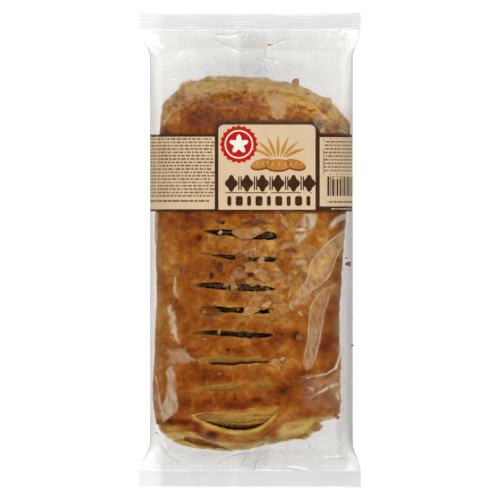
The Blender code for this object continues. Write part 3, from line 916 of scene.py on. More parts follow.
def open_mouth(skin, x, y):
    """Sinks the open end. Below its upper edge, whose crust curls over here and there, a first layer of
    dough slopes down to a step with a crack on its left, a second one has fine lines, and filling lies at
    the bottom. Painted shade darkens its dough, more on the left, in a dark line along the crack and just
    above the lip."""
    bottom, filling = mouth_bottom(x), filling_edge(x)
    below = mouth_top(x) - y
    within = (below > 0) & (y > bottom) & (x > MOUTH_LEFT) & (x < MOUTH_RIGHT)
    step = LAYER_STEP + 0.6 * ripple(x, 5.0, 36)
    crack = ease((below - step) / 0.3) * (1 - 0.75 * ease((x + 4) / 8))
    wall = 0.45 * np.minimum(below, step) + 0.7 * crack + 0.25 * np.maximum(below - step, 0)
    wall = wall + 0.65 * ease((filling - y) / 0.8)
    skin["cut"] = np.where(within, wall * np.clip((y - bottom) / 0.5, 0, 1), skin["cut"])
    skin["paste"] = np.where(within, 0.55 * ease((filling - y) / 0.6), skin["paste"])
    layer = np.where(below < step, 0.30 + 0.30 * ease(below / 1.5), 0.50 + 0.12 * np.sin(below * 3.0))
    # painted shade: a dark line along the crack at the step, fading to the right, and more on the left and
    # above the lip
    crack_shade = np.exp(-(((below - step - 0.35) / 0.45) ** 2)) * (1 - ease((x + 2) / 8))
    shaded = 0.14 + 0.24 * ease((-8 - x) / 8) + 0.5 * crack_shade + 0.3 * ease((0.9 - (y - bottom)) / 0.9)
    skin["cut_tone_and_shade"] = np.where(within, layer - shaded, skin["cut_tone_and_shade"])
    curl = within * ease((1.9 - below) / 0.9) * ease((ripple(x, 6.0, 37) + 0.6) / 0.3) * ease((x + 23) / 5)
    skin["dough"] = np.where(within, 1.0 - 0.75 * curl, skin["dough"])
    skin["bake"] -= 0.25 * curl


def roll_lip(skin, x, y):
    """Raises the rolled lip under the open end, half a sine wave high, pale along its inner edge and
    browner outwards, fading out at both of its ends."""
    bottom = mouth_bottom(x)
    share = np.clip((bottom - y) / LIP_WIDTH, 0, 1)
    on_lip = (y < bottom) & (y > bottom - LIP_WIDTH) & (x > MOUTH_LEFT - 1) & (x < MOUTH_RIGHT + 1)
    ends = ease((x - MOUTH_LEFT + 0.5) / 4) * ease((MOUTH_RIGHT + 1 - x) / 6)
    skin["relief"] += np.where(on_lip, 1.3 * ends * np.sin(np.pi * share), 0)
    rolled = 0.02 + 0.40 * ease(share * 1.5) + 0.10 * mottle(x, y, 2.0, 24)
    bake = skin["bake"]
    skin["bake"] = np.where(on_lip, bake + (rolled - bake) * (0.25 + 0.75 * ends), bake)
    pale = 0.9 * (1 - ease((share - 0.30) / 0.2)) * (1 - 0.6 * ease((x - 4) / 8)) * ends
    skin["dough"] = np.where(on_lip, pale * (0.8 + 0.4 * noise(x, y, 2.5, 81)), skin["dough"])


def bare_end(skin, x, y):
    """Strips the crust off the lower end, a step down to pale rough dough, and gives back where that is."""
    past = ease((crust_end(x) - y) / np.where(x > 13, 3.2, 1.6))
    skin["relief"] += past * (0.20 * mottle(x, y, 2.6, 28, 2) - 2.0)
    skin["dough"] = np.maximum(skin["dough"], past * (0.86 + 0.14 * noise(x, y, 2.0, 38)))
    return past


def roll_upper_end(skin, x, y, away):
    """Bakes the rolled upper end by the depth from its outline, made uneven, with strokes of rolled dough
    that follow the outline. The strokes, from 0 to 1, are given back."""
    stroke = 0.5 * noise(x * 0.22, away * 1.1, 1.3, 54) + 0.5 * noise(x * 0.35, away * 1.2, 0.6, 55)
    depth = away + 3.0 * (stroke - 0.5) + 2.4 * (noise(x, y, 6.0, 82) - 0.5)
    depth = depth + 1.2 * (noise(x, y, 1.8, 83) - 0.5)
    left, right = (np.interp(depth, ROLL_DEPTHS, side) for side in (ROLL_LEFT, ROLL_RIGHT))
    rolled = left + (right - left) * ease(x / 10)
    rolled = rolled + 0.34 * (noise(x, y, 0.8, 87) - 0.5)
    rolled = rolled + 0.30 * (stroke - 0.5) + 0.3 * (skin["bake"] - 0.5)
    here = ease((y - 54) / 4)
    skin["bake"] = skin["bake"] * (1 - here) + np.maximum(rolled, 0) * here
    skin["relief"] += here * (0.9 * (stroke - 0.5) + 0.35 * mottle(x, y, 3.0, 29, 2))
    return stroke


def mark_crust(skin, x, y):
    """Adds what is drawn one by one: the brown fold, which is a lens along its path, the cracks, the spots
    baked darker or paler, and the flakes on the bare dough."""
    streak, along = to_path(x, y, BROWN_FOLD)
    lens = np.exp(-((streak / (0.4 + 1.4 * np.sin(np.pi * np.sqrt(along)))) ** 4)) * (y < -80)
    skin["dough"] *= 1 - 0.95 * lens
    skin["bake"] = skin["bake"] * (1 - lens) + lens * (0.60 + 0.15 * mottle(x, y, 1.5, 84, 2))
    skin["relief"] -= 0.6 * lens
    for path in BARE_CRACKS:
        crack, _ = to_path(x, y, path)
        skin["paste"] = np.maximum(skin["paste"], 0.8 * np.exp(-((crack / 0.22) ** 2)))
    for *place, much in SPOTS:
        skin["bake"] += much * bell(x, y, *place, 1.3)
    for place in BARE_SPOTS:
        skin["dough"] *= 1 - bell(x, y, *place, 1.5)


def dough_tone(x, y, away, past, stroke):
    """How light bare dough is, from 0 to 1: clouds, soft rings along the outline, and on the lower end fine
    slanting layers."""
    tone = 0.62 + 0.18 * mottle(x, y, 5.0, 35) + 0.10 * np.sin(away * 1.6 + 3 * noise(x, y, 7.0, 33))
    slanted = y - 0.33 * np.tanh(x / 8) * x
    layers = 0.6 * noise(x * 0.25, slanted, 1.1, 85) + 0.4 * noise(x * 0.5, slanted, 0.5, 86)
    tone = tone + past * (0.26 + 0.10 * ease((-18 - x) / 8) + 0.5 * (layers - 0.5))
    tone = tone + 0.5 * ease((y - 52) / 5) * (stroke - 0.5)
    tone = tone + 0.14 * bell(x, y, 1, -87, 10, 2.6)
    return tone - 0.12 * ease((-26 - x) / 12) * ease(y / 10)


def pastry_surface(x, y):
    """The top's height and its flags. bake is how dark the crust is, dough is 1 on bare dough, tone is how
    light that dough is, with painted shade in the cuts and the mouth, and paste is 1 where filling shows."""
    smooth, away = crust_top(x, y)
    skin = baked_crust(x, y, away)
    cut_slits(skin, x, y)
    open_mouth(skin, x, y)
    roll_lip(skin, x, y)
    past = bare_end(skin, x, y)
    stroke = roll_upper_end(skin, x, y, away)
    mark_crust(skin, x, y)
    tone = dough_tone(x, y, away, past, stroke)
    # in the cuts and the mouth the tone carries their painted shade
    in_cut = skin["cut_tone_and_shade"]
    skin["tone"] = np.where(in_cut > 0, in_cut + 0.06 * mottle(x, y, 1.2, 34, 2), tone)
    height = smooth + skin["relief"] * ease(away / 5) - skin["cut"]
    return height, {flag: skin[flag] for flag in CRUST_FLAGS}


def crowded(low, high, count, weight):
    """Places from low to high, closer together where the weight of a place is greater."""
    fine = np.linspace(low, high, 4000)
    total = np.cumsum(weight(fine))
    return np.interp(np.linspace(total[0], total[-1], count), total, fine)


def station_weight(y):
    """Stations crowd over the cuts and the mouth, and are sparse under the print."""
    weight = np.where((y > 20) & (y < 48), 0.3, 1.0) + 1.4 * ((y < -69) & (y > -84))
    for slit in SLITS:
        _, upper, lower = np.array(slit[4]).T
        weight = np.maximum(weight, 2.3 * ((y < upper.max() + 0.8) & (y > lower.min() - 0.8)))
    return weight


def share_weight(share):
    """Columns crowd in the middle strip and at the edges."""
    return 1.0 + 0.5 * ((share > -0.64) & (share < 0.34)) + 1.2 * (abs(share) > 0.95)


def frayed(x, y):
    """How far both ends of the pastry are pulled in or out along Y, so that their edges are uneven."""
    near_end = ease((y - 68) / 6) + ease((-80 - y) / 6)
    return near_end * (0.9 * ripple(x, 2.2, 88) + 0.6 * ripple(x, 0.8, 89))


STATIONS, TOP_SHARES, UNDER_SHARES = 425, 204, 30
END_STEPS = (0.04, 0.10)  # more stations just inside both ends


def make_pastry(material):
    """One closed form: at each station along Y, a row over the top from the left edge to the right, and
    back under the flat base, whose rim rounds down by a quarter circle."""
    y = crowded(EDGES[0, 0], EDGES[-1, 0], STATIONS, station_weight)
    steps = np.array(END_STEPS)
    y = np.concatenate([y[:1], y[0] + steps, y[1:-1], y[-1] - steps[::-1], y[-1:]])[:, None]
    left, right = edges_at(y)
    left, right = left + 0.5 * ripple(y, 2.0, 50), right + 0.5 * ripple(y, 2.0, 51)
    centre, reach = (left + right) / 2, (right - left) / 2
    reach[[0, -1]] = 0.0
    shares = crowded(-1.0, 1.0, TOP_SHARES, share_weight)[None, :]
    top_x = centre + reach * shares
    top_y = y + frayed(top_x, y)
    top, flags = pastry_surface(top_x, top_y)
    top = np.where((abs(shares) == 1) | (reach == 0), edge_height(top_y), top)

    under_x = centre + reach * spread(UNDER_SHARES, 0.3)[None, ::-1][:, 1:-1]
    under_y = y + frayed(under_x, y)
    away, _ = to_path(under_x, under_y, OUTLINE + OUTLINE[:1])
    rim = edge_height(under_y)
    floor = smooth_base(across_of(under_x, under_y), under_y) + 0.6
    under = np.where(reach == 0, rim, rim + (floor - rim) * quarter_round(away / UNDER_ROUND))

    plain = dict.fromkeys(CRUST_FLAGS, np.zeros_like(under_x))
    plain["bake"] = 0.42 + 0.15 * mottle(under_x, under_y, 8.0, 60) + 0.2 * ease(1 - away / 10)
    plain["tone"] = np.full_like(under_x, 0.5)
    joined = {flag: np.hstack([flags[flag], plain[flag]]) for flag in CRUST_FLAGS}
    x, y, z = (np.hstack(pair) for pair in ((top_x, under_x), (top_y, under_y), (top, under)))
    faces = grid_faces(*x.shape, wrap=True)
    make_piece("pastry", point_list(x, y, z), faces, material, joined, weld=True)


def make_filling(material):
    """Closed lumps of almond paste in the deeper cuts and the mouth: flattened ovals with an uneven top."""
    points, faces, start = [], [], 0
    round_it = np.linspace(0, 2 * np.pi, 24, endpoint=False)[None, :]
    along = np.linspace(0, 1, 60)[:, None]
    for _, _, depth, climb, outline in SLITS:
        places, upper, lower = np.array(outline).T
        if depth > SLIT_DEEPEST or places[-1] - places[0] < 10:
            continue
        left = places[0] + climb / 2
        x = left + (places[-1] - left - 0.2) * along + 0 * round_it
        high, low = np.interp(x, places, upper), np.interp(x, places, lower)
        thick = np.sin(np.pi * along) ** 0.3
        y = (high + low) / 2 + (high - low) / 2 * 0.96 * thick * np.cos(round_it)
        uneven = 0.6 * mottle(x, y, 1.1, 70, 2) * (np.sin(round_it) > 0)
        z = crust_top(x, y)[0] - depth + thick * 0.9 * (np.sin(round_it) - 1) + uneven
        points.append(point_list(x, y, z))
        faces.append(grid_faces(*x.shape, wrap=True, start=start))
        start += x.size
    round_it = np.linspace(0, 2 * np.pi, 60, endpoint=False)[None, :]
    along = np.linspace(0, 1, 90)[:, None]
    x = -19.5 + 28.5 * along + 0 * round_it
    low, high = mouth_bottom(x) - 0.4, filling_edge(x) + 0.7
    thick = np.sin(np.pi * along) ** 0.4
    y = (low + high) / 2 + (high - low) / 2 * thick * np.cos(round_it)
    uneven = 0.35 * mottle(x, y, 1.5, 71) * (np.sin(round_it) > 0)
    z = crust_top(x, y)[0] - 3.0 + thick * (np.sin(round_it) - 1) + uneven
    points.append(point_list(x, y, z))
    faces.append(grid_faces(*x.shape, wrap=True, start=start))
    make_piece("almond_filling", np.vstack(points), np.vstack(faces), material, weld=True)


# ------------------------------------------------------------------ almond slices and crumbs
# Slices that stand out: x, y, length, width, turn in degrees, curl, toast from 0 pale to 1 brown
SLICES = (
    (-1.3, 7.7, 13.8, 4.9, -2, 0.5, 0.32), (2.6, 8.5, 6.6, 3.4, 5, 0.5, 0.15),
    (2.3, 12.4, 14.6, 4.2, 2, 0.3, 0.95), (-13.4, 12.5, 4.2, 2.4, 0, 0.2, 1),
    (-13.3, 7.8, 3, 1.5, 80, 0.2, 0.02), (-3.4, -4, 8.4, 7.6, 62, 0.5, 0.7),
    (-2.3, -0.5, 4.6, 2.6, 20, 0.4, 0.4), (4.9, -4.6, 5.2, 3.4, 75, 0.4, 0.2),
    (4.5, 1.8, 4.6, 2, 62, 0.4, 0.1), (2.3, 0.7, 4, 1.8, 60, 0.3, 0.14),
    (-9.4, -13.4, 8.6, 5.2, 50, 0.5, 0.45), (-7, -16.2, 4.2, 4, 70, 0.4, 0.32),
    (7.9, -10.6, 6, 4, 30, 0.4, 0.55), (3.1, -10, 3.6, 2.8, 10, 0.4, 0.2),
    (13.5, -12, 8.6, 5.8, -35, 0.4, 0.32), (-17.4, -27.7, 11.5, 6, -8, 0.4, 0.88),
    (-20.5, -28, 3.6, 2.6, 0, 0.3, 0.3), (0.3, -27.2, 9.6, 4.4, 22, 0.5, 0.24),
    (7.3, -24.6, 5.6, 3.2, 30, 0.5, 0.05), (3.9, -21.8, 7.6, 3.6, 10, 0.4, 0.3),
    (14.3, -29.7, 12.4, 4.8, -24, 0.6, 0.46), (-2.3, -30.8, 6, 4, 40, 0.4, 0.42),
    (6.8, -31.4, 7, 4, -30, 0.3, 0.48), (-5.3, -26.6, 1.9, 1.6, 10, 0.2, 0.6),
    (18.3, -25.2, 4.2, 2.4, -60, 0.5, 0.08), (22.5, -28.3, 3.4, 2.2, -40, 0.4, 0.14),
    (-29, 10.2, 5.4, 4.4, 10, 0.2, 0.9), (23, -5.6, 7.5, 3.2, 0, 0.4, 0.12),
    (22.5, -11.1, 5, 4, 20, 0.4, 0.6), (18.2, -18, 9, 1.7, 72, 0.4, 0.2),
    (17.5, 1.3, 10, 4.6, -35, 0.4, 0.85), (15.3, 12.2, 6.8, 3.2, -50, 0.3, 0.28),
    (-7.9, -21.8, 6.4, 4.2, 20, 0.3, 0.85), (-13.9, -36.8, 3.4, 2.4, 80, 0.2, 0.3),
    (-20.2, -40, 2.2, 1.7, 10, 0.2, 0.3), (10.9, -50.4, 5.6, 4.2, 20, 0.6, 0.22),
    (12.8, -52.9, 4.8, 2.7, -70, 0.4, 0.24), (14.6, -48.7, 2.6, 2.1, 30, 0.5, 0.1),
    (9.6, -51, 3.2, 3, 0, 0.3, 0.4), (22.3, -39.4, 5, 3.6, -20, 0.4, 0.6),
    (-13.6, -55.3, 2.4, 1.9, 0, 0.3, 0.45), (12.6, 66.4, 9.4, 8, -75, 0.4, 0.08),
    (13, 62.4, 9.4, 6.6, -78, 0.3, 0.12), (4.7, 68.8, 5.6, 2.8, 60, 0.4, 0.22),
    (-5.9, 66.2, 3.4, 2, 10, 0.3, 0.72), (6.4, 58.8, 6, 3.4, 10, 0.3, 0.35),
    (-16.5, -6, 6, 4.2, 30, 0.2, 0.85), (9.6, -12.6, 5, 3, 20, 0.4, 0.6), (16, -18.5, 6, 3.6, 50, 0.4, 0.6),
    (28, -33, 4, 3, 20, 0.3, 0.55), (-24, 13.5, 8, 5, -20, 0.2, 0.92),
)
# Leaves of dough that have sprung up or hang over at both ends: as for the slices, with 1 for the brownest
LEAVES = (
    (30.3, -79.8, 5, 4.4, 20, 0.2, 0.52), (24.4, -84.2, 6, 2.4, 12, 0.2, 0.48),
    (39, -75, 4.5, 2.4, -20, 0.2, 0.6), (-28.4, -87.2, 14, 2.6, -14, 0.3, 0.05),
    (-39.6, -80.6, 5, 3, -50, 0.2, 0.55), (17, -85.2, 6.5, 1.6, 8, 0.2, 0.25),
    (-13, -89.6, 8, 1.6, -4, 0.2, 0.3), (24.4, 72.7, 9, 1.3, -17, 0.2, 0.02),
    (-13.5, 76.6, 11, 1.6, 2, 0.1, 0.08), (35.6, 66.8, 5, 2.6, -50, 0.2, 0.1),
    (-28, 74.6, 7.5, 2, 20, 0.2, 0.3), (42, 59, 6, 2.2, -50, 0.2, 0.5),
)
RINGS, SPOKES = 4, 16
BREAKS = 4  # straight broken sides of a slice
SLICE_THICKNESS = 0.35
SLICE_CLEARANCE = 0.30  # a slice's upper face stays this far under the film
LOOSE_CRUMBS = 70
CRUMB_RINGS, CRUMB_SPOKES = 7, 8


def scattered_slices(count, seed):
    """More slices at random over the topped part of the crust, crowded round its middle. Those that would
    hide a cut are left out."""
    draw = np.random.default_rng(seed)
    x, y = draw.normal(9.0, 10.0, count), np.clip(draw.normal(-8, 12, count), -36, 14)
    length = draw.uniform(4.0, 9.5, count)
    width = length * draw.uniform(0.45, 0.8, count)
    turn, curl = draw.uniform(0, 180, count), draw.uniform(0.0, 0.25, count)
    toast = draw.uniform(0.25, 0.62, count)
    rows = np.stack([np.clip(x, -30, 30), y, length, width, turn, curl, toast], -1)
    clear = [abs(y - np.interp(x, *np.array(cut[4]).T[[0, 2]]) - 1) > 3.1 for cut in SLITS]
    return rows[np.all(clear, axis=0) | (x > 14)]


def resting(x, y):
    """Height of the crust, or of the pastry's rim for a place beyond its outline."""
    return np.where(inside(x, y, OUTLINE), crust_top(x, y)[0], edge_height(y))


def make_slices(name, rows, material, lift=0.0):
    """Thin broken ovals, draped on the crust at a lift: rings by spokes for the upper face and again for
    the lower one, joined round the rim. The rim is 0.12 of an oval and 0.88 of the polygon that its
    straight breaks cut, with a slight wave, and one side of it curls up."""
    draw = np.random.default_rng(91)
    pieces = len(rows)
    x0, y0, length, width, turn, curl = (rows[:, i][:, None, None] for i in range(6))
    ring = np.linspace(0, 1, RINGS + 1)[1:][None, :, None]
    spoke = (np.arange(SPOKES) * 2 * np.pi / SPOKES)[None, None, :]
    curl_side, _, wave = draw.uniform(0, 2 * np.pi, (3, pieces, 1, 1))
    sides = (np.arange(BREAKS) + draw.uniform(0.1, 0.9, (pieces, 1, BREAKS))) * 2 * np.pi / BREAKS
    reach = draw.uniform(0.48, 0.86, (pieces, 1, 1, BREAKS)) + 0.14 * (length[..., None] > 9)
    towards = np.maximum(np.cos(spoke[..., None] - sides[:, :, None, :]), 0.05)
    broken = np.minimum((reach / towards).min(-1), 1.15)
    rim = 0.12 + 0.88 * broken + 0.04 * np.sin(5 * spoke + wave)
    along, aside = ring * rim * np.cos(spoke) * length / 2, ring * rim * np.sin(spoke) * width / 2
    turned_x, turned_y = turned(along, aside, turn)
    x, y = x0 + turned_x, y0 + turned_y
    raised = np.maximum(np.cos(spoke + curl_side), -0.2)
    z = resting(x, y) - 0.10 + 0.35 * (1 - ring**3) + draw.uniform(0, 0.2, (pieces, 1, 1))
    z = z + 0.9 * curl * ring**2 * raised + lift
    z = np.minimum(z, film_top(across_of(x, y), y) - SLICE_CLEARANCE - SLICE_THICKNESS)
    thick = np.array([0, 0, SLICE_THICKNESS])
    thinned = SLICE_THICKNESS * 0.5 * ring**4
    middle = np.stack([x, y, z], -1)[:, 0].mean(1, keepdims=True)
    upper = np.stack([x, y, z + SLICE_THICKNESS - thinned], -1).reshape(pieces, -1, 3)
    lower = np.stack([x, y, z + thinned], -1).reshape(pieces, -1, 3)
    points = np.concatenate([middle + thick, upper, middle, lower], 1)

    fan, rings = disc_faces(RINGS, SPOKES)
    face = 1 + RINGS * SPOKES
    outer = face - SPOKES + np.arange(SPOKES)
    after = np.roll(outer, -1)
    edge = np.stack([outer, outer + face, after + face, after], -1)
    fans, quads = np.vstack([fan, fan[:, ::-1] + face]), np.vstack([rings, rings[:, ::-1] + face, edge])
    # the rim flag is strongest on the side that curls up, where the almond finish paints its highlight
    shown = (ring * (0.80 + 0.20 * raised)).reshape(pieces, -1)
    centre = np.zeros((pieces, 1))
    rims = np.hstack([centre, shown, centre, shown]).ravel()
    toasts = np.repeat(rows[:, 6], 2 * face)
    flags = {"rim": rims, "toast": toasts, "bake": toasts, "dough": 1 - toasts, "paste": 0 * rims,
             "tone": 0.9 - 0.2 * rims}
    faces = repeated([fans, quads], pieces, 2 * face)
    make_piece(name, points.reshape(-1, 3), faces, material, flags)


def make_crumbs(material):
    """Loose crumbs: small balls of rings by spokes, pushed in and out at random. Those over the pastry lie
    on it, and the others lie on the film under them."""
    draw = np.random.default_rng(14)
    side = draw.choice([-1.0, 1.0], LOOSE_CRUMBS)
    y = draw.uniform(-84, 78, LOOSE_CRUMBS)
    reach = np.where(side < 0, *edges_at(y))
    away = np.minimum(abs(reach + side * draw.exponential(0.5, LOOSE_CRUMBS)), half_width(y) - 2.2)
    size, squash = draw.uniform(0.3, 0.9, LOOSE_CRUMBS), draw.uniform(0.5, 0.9, LOOSE_CRUMBS)
    rows = np.vstack([np.array(CRUMBS), np.stack([side * away, y, size, squash], -1)])
    x0, y0, size, squash = (rows[:, i][:, None, None] for i in range(4))
    ring = np.linspace(0, np.pi, CRUMB_RINGS)[None, :, None]
    spoke = (np.arange(CRUMB_SPOKES) * 2 * np.pi / CRUMB_SPOKES)[None, None, :]
    bumps = 1 + draw.uniform(-0.28, 0.28, (len(rows), CRUMB_RINGS, CRUMB_SPOKES)) * np.sin(ring)
    x = x0 + size / 2 * bumps * np.sin(ring) * np.cos(spoke)
    y = y0 + size / 2 * bumps * np.sin(ring) * np.sin(spoke) * squash
    on_film_below = edge_height(y0) - 1.5 + 0.3 * size
    rest = np.where(inside(x0, y0, OUTLINE), crust_top(x0, y0)[0], on_film_below)
    ceiling = smooth_top(across_of(x0, y0), y0) - 0.6 * size
    z = np.minimum(rest, ceiling) + 0.4 * size * bumps * np.cos(ring)
    faces = many_grids(len(rows), CRUMB_RINGS, CRUMB_SPOKES, wrap=True)[:, ::-1]
    make_piece("crumbs", point_list(x, y, z), faces, material, weld=True)


# ------------------------------------------------------------------ the printed band
BAND_LOW, BAND_HIGH = 17.3, 52.0
BAND_MIDDLE = 35.0  # where the girth is measured
TAB_LEFT, TAB_RIGHT, TAB_HIGH = -16.3, 30.1, 57.6
PANEL_ROUND = 2.4
UNDER_FILM = 0.20  # the print lies on the film's inner face
INK_STEP = 0.03  # each ink lies on the last


def wall_length(share, wall):
    """Length along the tube's wall at the band, step by step over a list of shares across."""
    x, z = share * half_width(BAND_MIDDLE), wall(share, BAND_MIDDLE)
    return np.cumsum(np.hypot(np.diff(x, prepend=x[0]), np.diff(z, prepend=z[0])))


# Girth is the length along the wall from the middle of the top, over a side fold and back under the base
TOP_SHARE = np.sin(np.linspace(0, np.pi / 2, 400))
BASE_SHARE = TOP_SHARE[::-1]
TOP_GIRTH = wall_length(TOP_SHARE, smooth_top)
BASE_GIRTH = TOP_GIRTH[-1] + wall_length(BASE_SHARE, smooth_base)
FOLD_GIRTH, HALF_GIRTH = TOP_GIRTH[-1], BASE_GIRTH[-1]
# The panels: left, right, low and high side. The outer two run on round the folds to the base.
UNDER_GAP = 7.0  # from each outer panel to the middle of the base
MIDDLE_PANEL = (-14.8, 28.9, 18.1, 56.2)
LEFT_PANEL = (UNDER_GAP - HALF_GIRTH, -16.5, 18.3, 50.8)
RIGHT_PANEL = (30.9, HALF_GIRTH - UNDER_GAP, 19.6, 50.6)


def girth_of(x):
    """Girth of the place on top of the tube that lies at x as seen from above."""
    share = abs(x - middle_x(BAND_MIDDLE)) / half_width(BAND_MIDDLE)
    return np.sign(x) * np.interp(share, TOP_SHARE, TOP_GIRTH)


def on_film(u, y, inset):
    """Points on the tube's wall at a girth u from the middle of the top, inset towards the pastry."""
    girth = abs(u)
    over = girth <= FOLD_GIRTH
    share = np.where(over, np.interp(girth, TOP_GIRTH, TOP_SHARE), np.interp(girth, BASE_GIRTH, BASE_SHARE))
    share = share * np.sign(u)
    x = middle_x(y) + share * (half_width(y) - inset)
    z = np.where(over, film_top(share, y) - inset, smooth_base(share, y) + inset * 0.6)
    return point_list(x, y, z)


def make_print_piece(name, u, y, inset, faces, material):
    """A printed shape, from grids of girth and of Y."""
    make_piece(name, on_film(*np.broadcast_arrays(u, y), inset), faces, material)


def print_field(name, left, right, low, high, inset, material, pitch=0.5, corner=0.0):
    """A field of ink: a grid over a stretch of girth and of Y. Its upper corners are rounded by pulling its
    rows in along a quarter circle."""
    rows, columns = max(int((high - low) / pitch), 2), max(int((right - left) / pitch), 2)
    y = np.linspace(low, high, rows)[:, None]
    over = np.clip(y - (high - corner), 0, corner)
    pull = corner - np.sqrt(np.clip(corner**2 - over**2, 0, None))
    u = (left + right) / 2 + np.linspace(-1, 1, columns)[None, :] * ((right - left) / 2 - pull)
    make_print_piece(name, u, y, inset, grid_faces(rows, columns), material)


def make_band(brown, tan):
    """The band's dark ground right round the tube, with a taller tab over the middle, and its tan
    panels."""
    rows, columns = 84, 420
    u = np.linspace(-HALF_GIRTH, HALF_GIRTH, columns)[None, :]
    tab = ease((u - TAB_LEFT + 0.2) / 0.9) * ease((TAB_RIGHT + 0.2 - u) / 0.9)
    share = np.linspace(0, 1, rows)[:, None]
    y = BAND_LOW + share * (BAND_HIGH - BAND_LOW + (TAB_HIGH - BAND_HIGH) * tab)
    make_print_piece("band_ground", u, y, UNDER_FILM, grid_faces(rows, columns), brown)
    inset = UNDER_FILM - INK_STEP
    print_field("panel_middle", *MIDDLE_PANEL, inset, tan, corner=PANEL_ROUND)
    print_field("panel_left", *LEFT_PANEL, inset, tan, pitch=0.45)
    print_field("panel_right", *RIGHT_PANEL, inset, tan, pitch=0.45)


def print_bars(name, bars, inset, material):
    """Many straight bars of ink in one piece. Each bar is its left, right, low and high side, and is a grid
    of three rows by enough columns to follow the film."""
    rows, columns = 3, 8
    left, right, low, high = np.array(bars, float).T[:, :, None, None]
    u = left + (right - left) * np.linspace(0, 1, columns)[None, None, :]
    y = low + (high - low) * np.linspace(0, 1, rows)[None, :, None]
    make_print_piece(name, u, y, inset, many_grids(len(bars), rows, columns), material)


def print_blobs(name, blobs, inset, material, rings=7, spokes=48):
    """Round shapes of ink in one piece. Each is its middle, its half sizes, its turn in degrees, how many
    lobes its rim has and how deep they are. A ring's points lie at the middle plus a share of the rim's
    radius, 1 + depth cos(lobes angle)."""
    table = np.array(blobs, float)
    u0, y0, half_u, half_y, turn, lobes, depth = table.T[:, :, None, None]
    ring = np.linspace(0, 1, rings + 1)[1:][None, :, None]
    angle = (np.arange(spokes) * 2 * np.pi / spokes)[None, None, :]
    radius = ring * (1 + depth * np.cos(lobes * angle))
    u, y = turned(radius * half_u * np.cos(angle), radius * half_y * np.sin(angle), turn)
    count = len(table)
    u = np.hstack([table[:, :1], (u0 + u).reshape(count, -1)])
    y = np.hstack([table[:, 1:2], (y0 + y).reshape(count, -1)])
    faces = repeated(disc_faces(rings, spokes), count, 1 + rings * spokes)
    make_print_piece(name, u, y, inset, faces, material)


def print_blades(name, blades, inset, material):
    """Leaf blades of ink in one piece: each follows an arc from its foot, and its half width rises and
    falls as a sine along it. Each is its foot, its heading in degrees, its length, half width and bend in
    degrees."""
    rows, columns = 20, 5
    u0, y0, heading, length, half, bend = np.array(blades, float).T[:, :, None, None]
    t, s = np.linspace(0, 1, rows)[None, :, None], np.linspace(-1, 1, columns)[None, None, :]
    angle = np.radians(heading + bend * t)
    step = length / (rows - 1)
    wide = half * np.sin(np.pi * t**0.8) * s
    u = u0 + np.cumsum(np.cos(angle) * step, 1) - np.sin(angle) * wide
    y = y0 + np.cumsum(np.sin(angle) * step, 1) + np.cos(angle) * wide
    make_print_piece(name, u, y, inset, many_grids(len(blades), rows, columns)[:, ::-1], material)


def dashes(left, right, rows, height, draw, shortest=0.5, longest=3.4, gap=0.55):
    """Rows of dashes of random length, as a plain stand-in for small print."""
    found = []
    for row in rows:
        place = left + draw.uniform(0, 1.5)
        while place < right - longest:
            end = place + draw.uniform(shortest, longest)
            found.append((place, end, row - height / 2, row + height / 2))
            place = end + gap
    return found


SEAL_MIDDLE = (-5.6, 47.4)
# The round seal, each part over the last: half size, turn in degrees, lobes of its rim, their depth, ink
# and spokes
SEAL_PARTS = {
    "seal_ground": (8.2, 0, 20, 0.045, "red", 120),
    "seal_ring": (6.4, 0, 1, 0.0, "white", 48),
    "seal_middle": (5.8, 0, 1, 0.0, "red", 48),
    "seal_star": (3.3, 90, 5, 0.34, "white", 48),
}
# The three rolls: middle, half sizes, turn in degrees
ROLLS = ((4.6, 38.6, 4.9, 2.5, 14), (19.6, 38.4, 4.9, 2.5, -14), (12.0, 38.2, 5.9, 3.0, 0))
FAN_FOOT = (12.0, 41.0)


def print_seal(level, inks):
    """A round seal with a scalloped ground, a ring and a star, in the upper left of the middle panel."""
    for inset, (name, (half, turn, lobes, depth, ink, spokes)) in zip(level, SEAL_PARTS.items()):
        print_blobs(name, [(*SEAL_MIDDLE, half, half, turn, lobes, depth)], inset, inks[ink], spokes=spokes)


def print_rolls(level, inks):
    """Three rolls, with a shaded side, a light side and slashes, on a fan of leaf blades."""
    fan_u, fan_y = FAN_FOOT
    fan = [(fan_u + 0.9 * i, fan_y, 90 - 17 * i, 10.5, 0.85, -10 * i) for i in range(-3, 4)]
    veins = [(u, y, heading, 9.5, 0.13, bend) for u, y, heading, _, _, bend in fan]
    shades = [(u, y - 0.35, a, b, turn, 2, 0.03) for u, y, a, b, turn in ROLLS]
    tops = [(u, y + 0.15, a * 0.94, b * 0.84, turn, 2, 0.03) for u, y, a, b, turn in ROLLS]
    slashes = [(u + a * k, y - 0.7 + 0.02 * a * k, 62, 2.3, 0.34, 16)
               for u, y, a, _, _ in ROLLS for k in (-0.5, 0, 0.5)]
    print_blades("leaf_blades", fan, level[0], inks["gold"])
    print_blades("leaf_ribs", veins, level[1], inks["rust"])
    print_blobs("roll_shades", shades, level[1], inks["rust"])
    print_blobs("roll_tops", tops, level[2], inks["crumb"])
    print_blades("roll_slashes", slashes, level[3], inks["gold"])


def print_friezes(inset, brown):
    """Two friezes in place of a title: lozenges between bars, then rounded tablets."""
    lozenges = [(-9.0 + 7.0 * i, 29.9, 2.5, 3.3, 0, 4, 0.16) for i in range(6)]
    bars = [(-5.9 + 7.0 * i + k, -5.3 + 7.0 * i + k, 26.9, 33.0) for i in range(5) for k in (0.0, 1.0)]
    bars += [(-11.6, 27.2, 25.5, 25.9)]
    tablets = [(-9.9 + 4.45 * i, 22.0, 1.75 if i % 2 else 1.0, 2.4, 0, 4, -0.10) for i in range(9)]
    print_blobs("frieze_lozenges", lozenges, inset, brown)
    print_bars("frieze_bars", bars, inset, brown)
    print_blobs("frieze_tablets", tablets, inset, brown, rings=4, spokes=32)


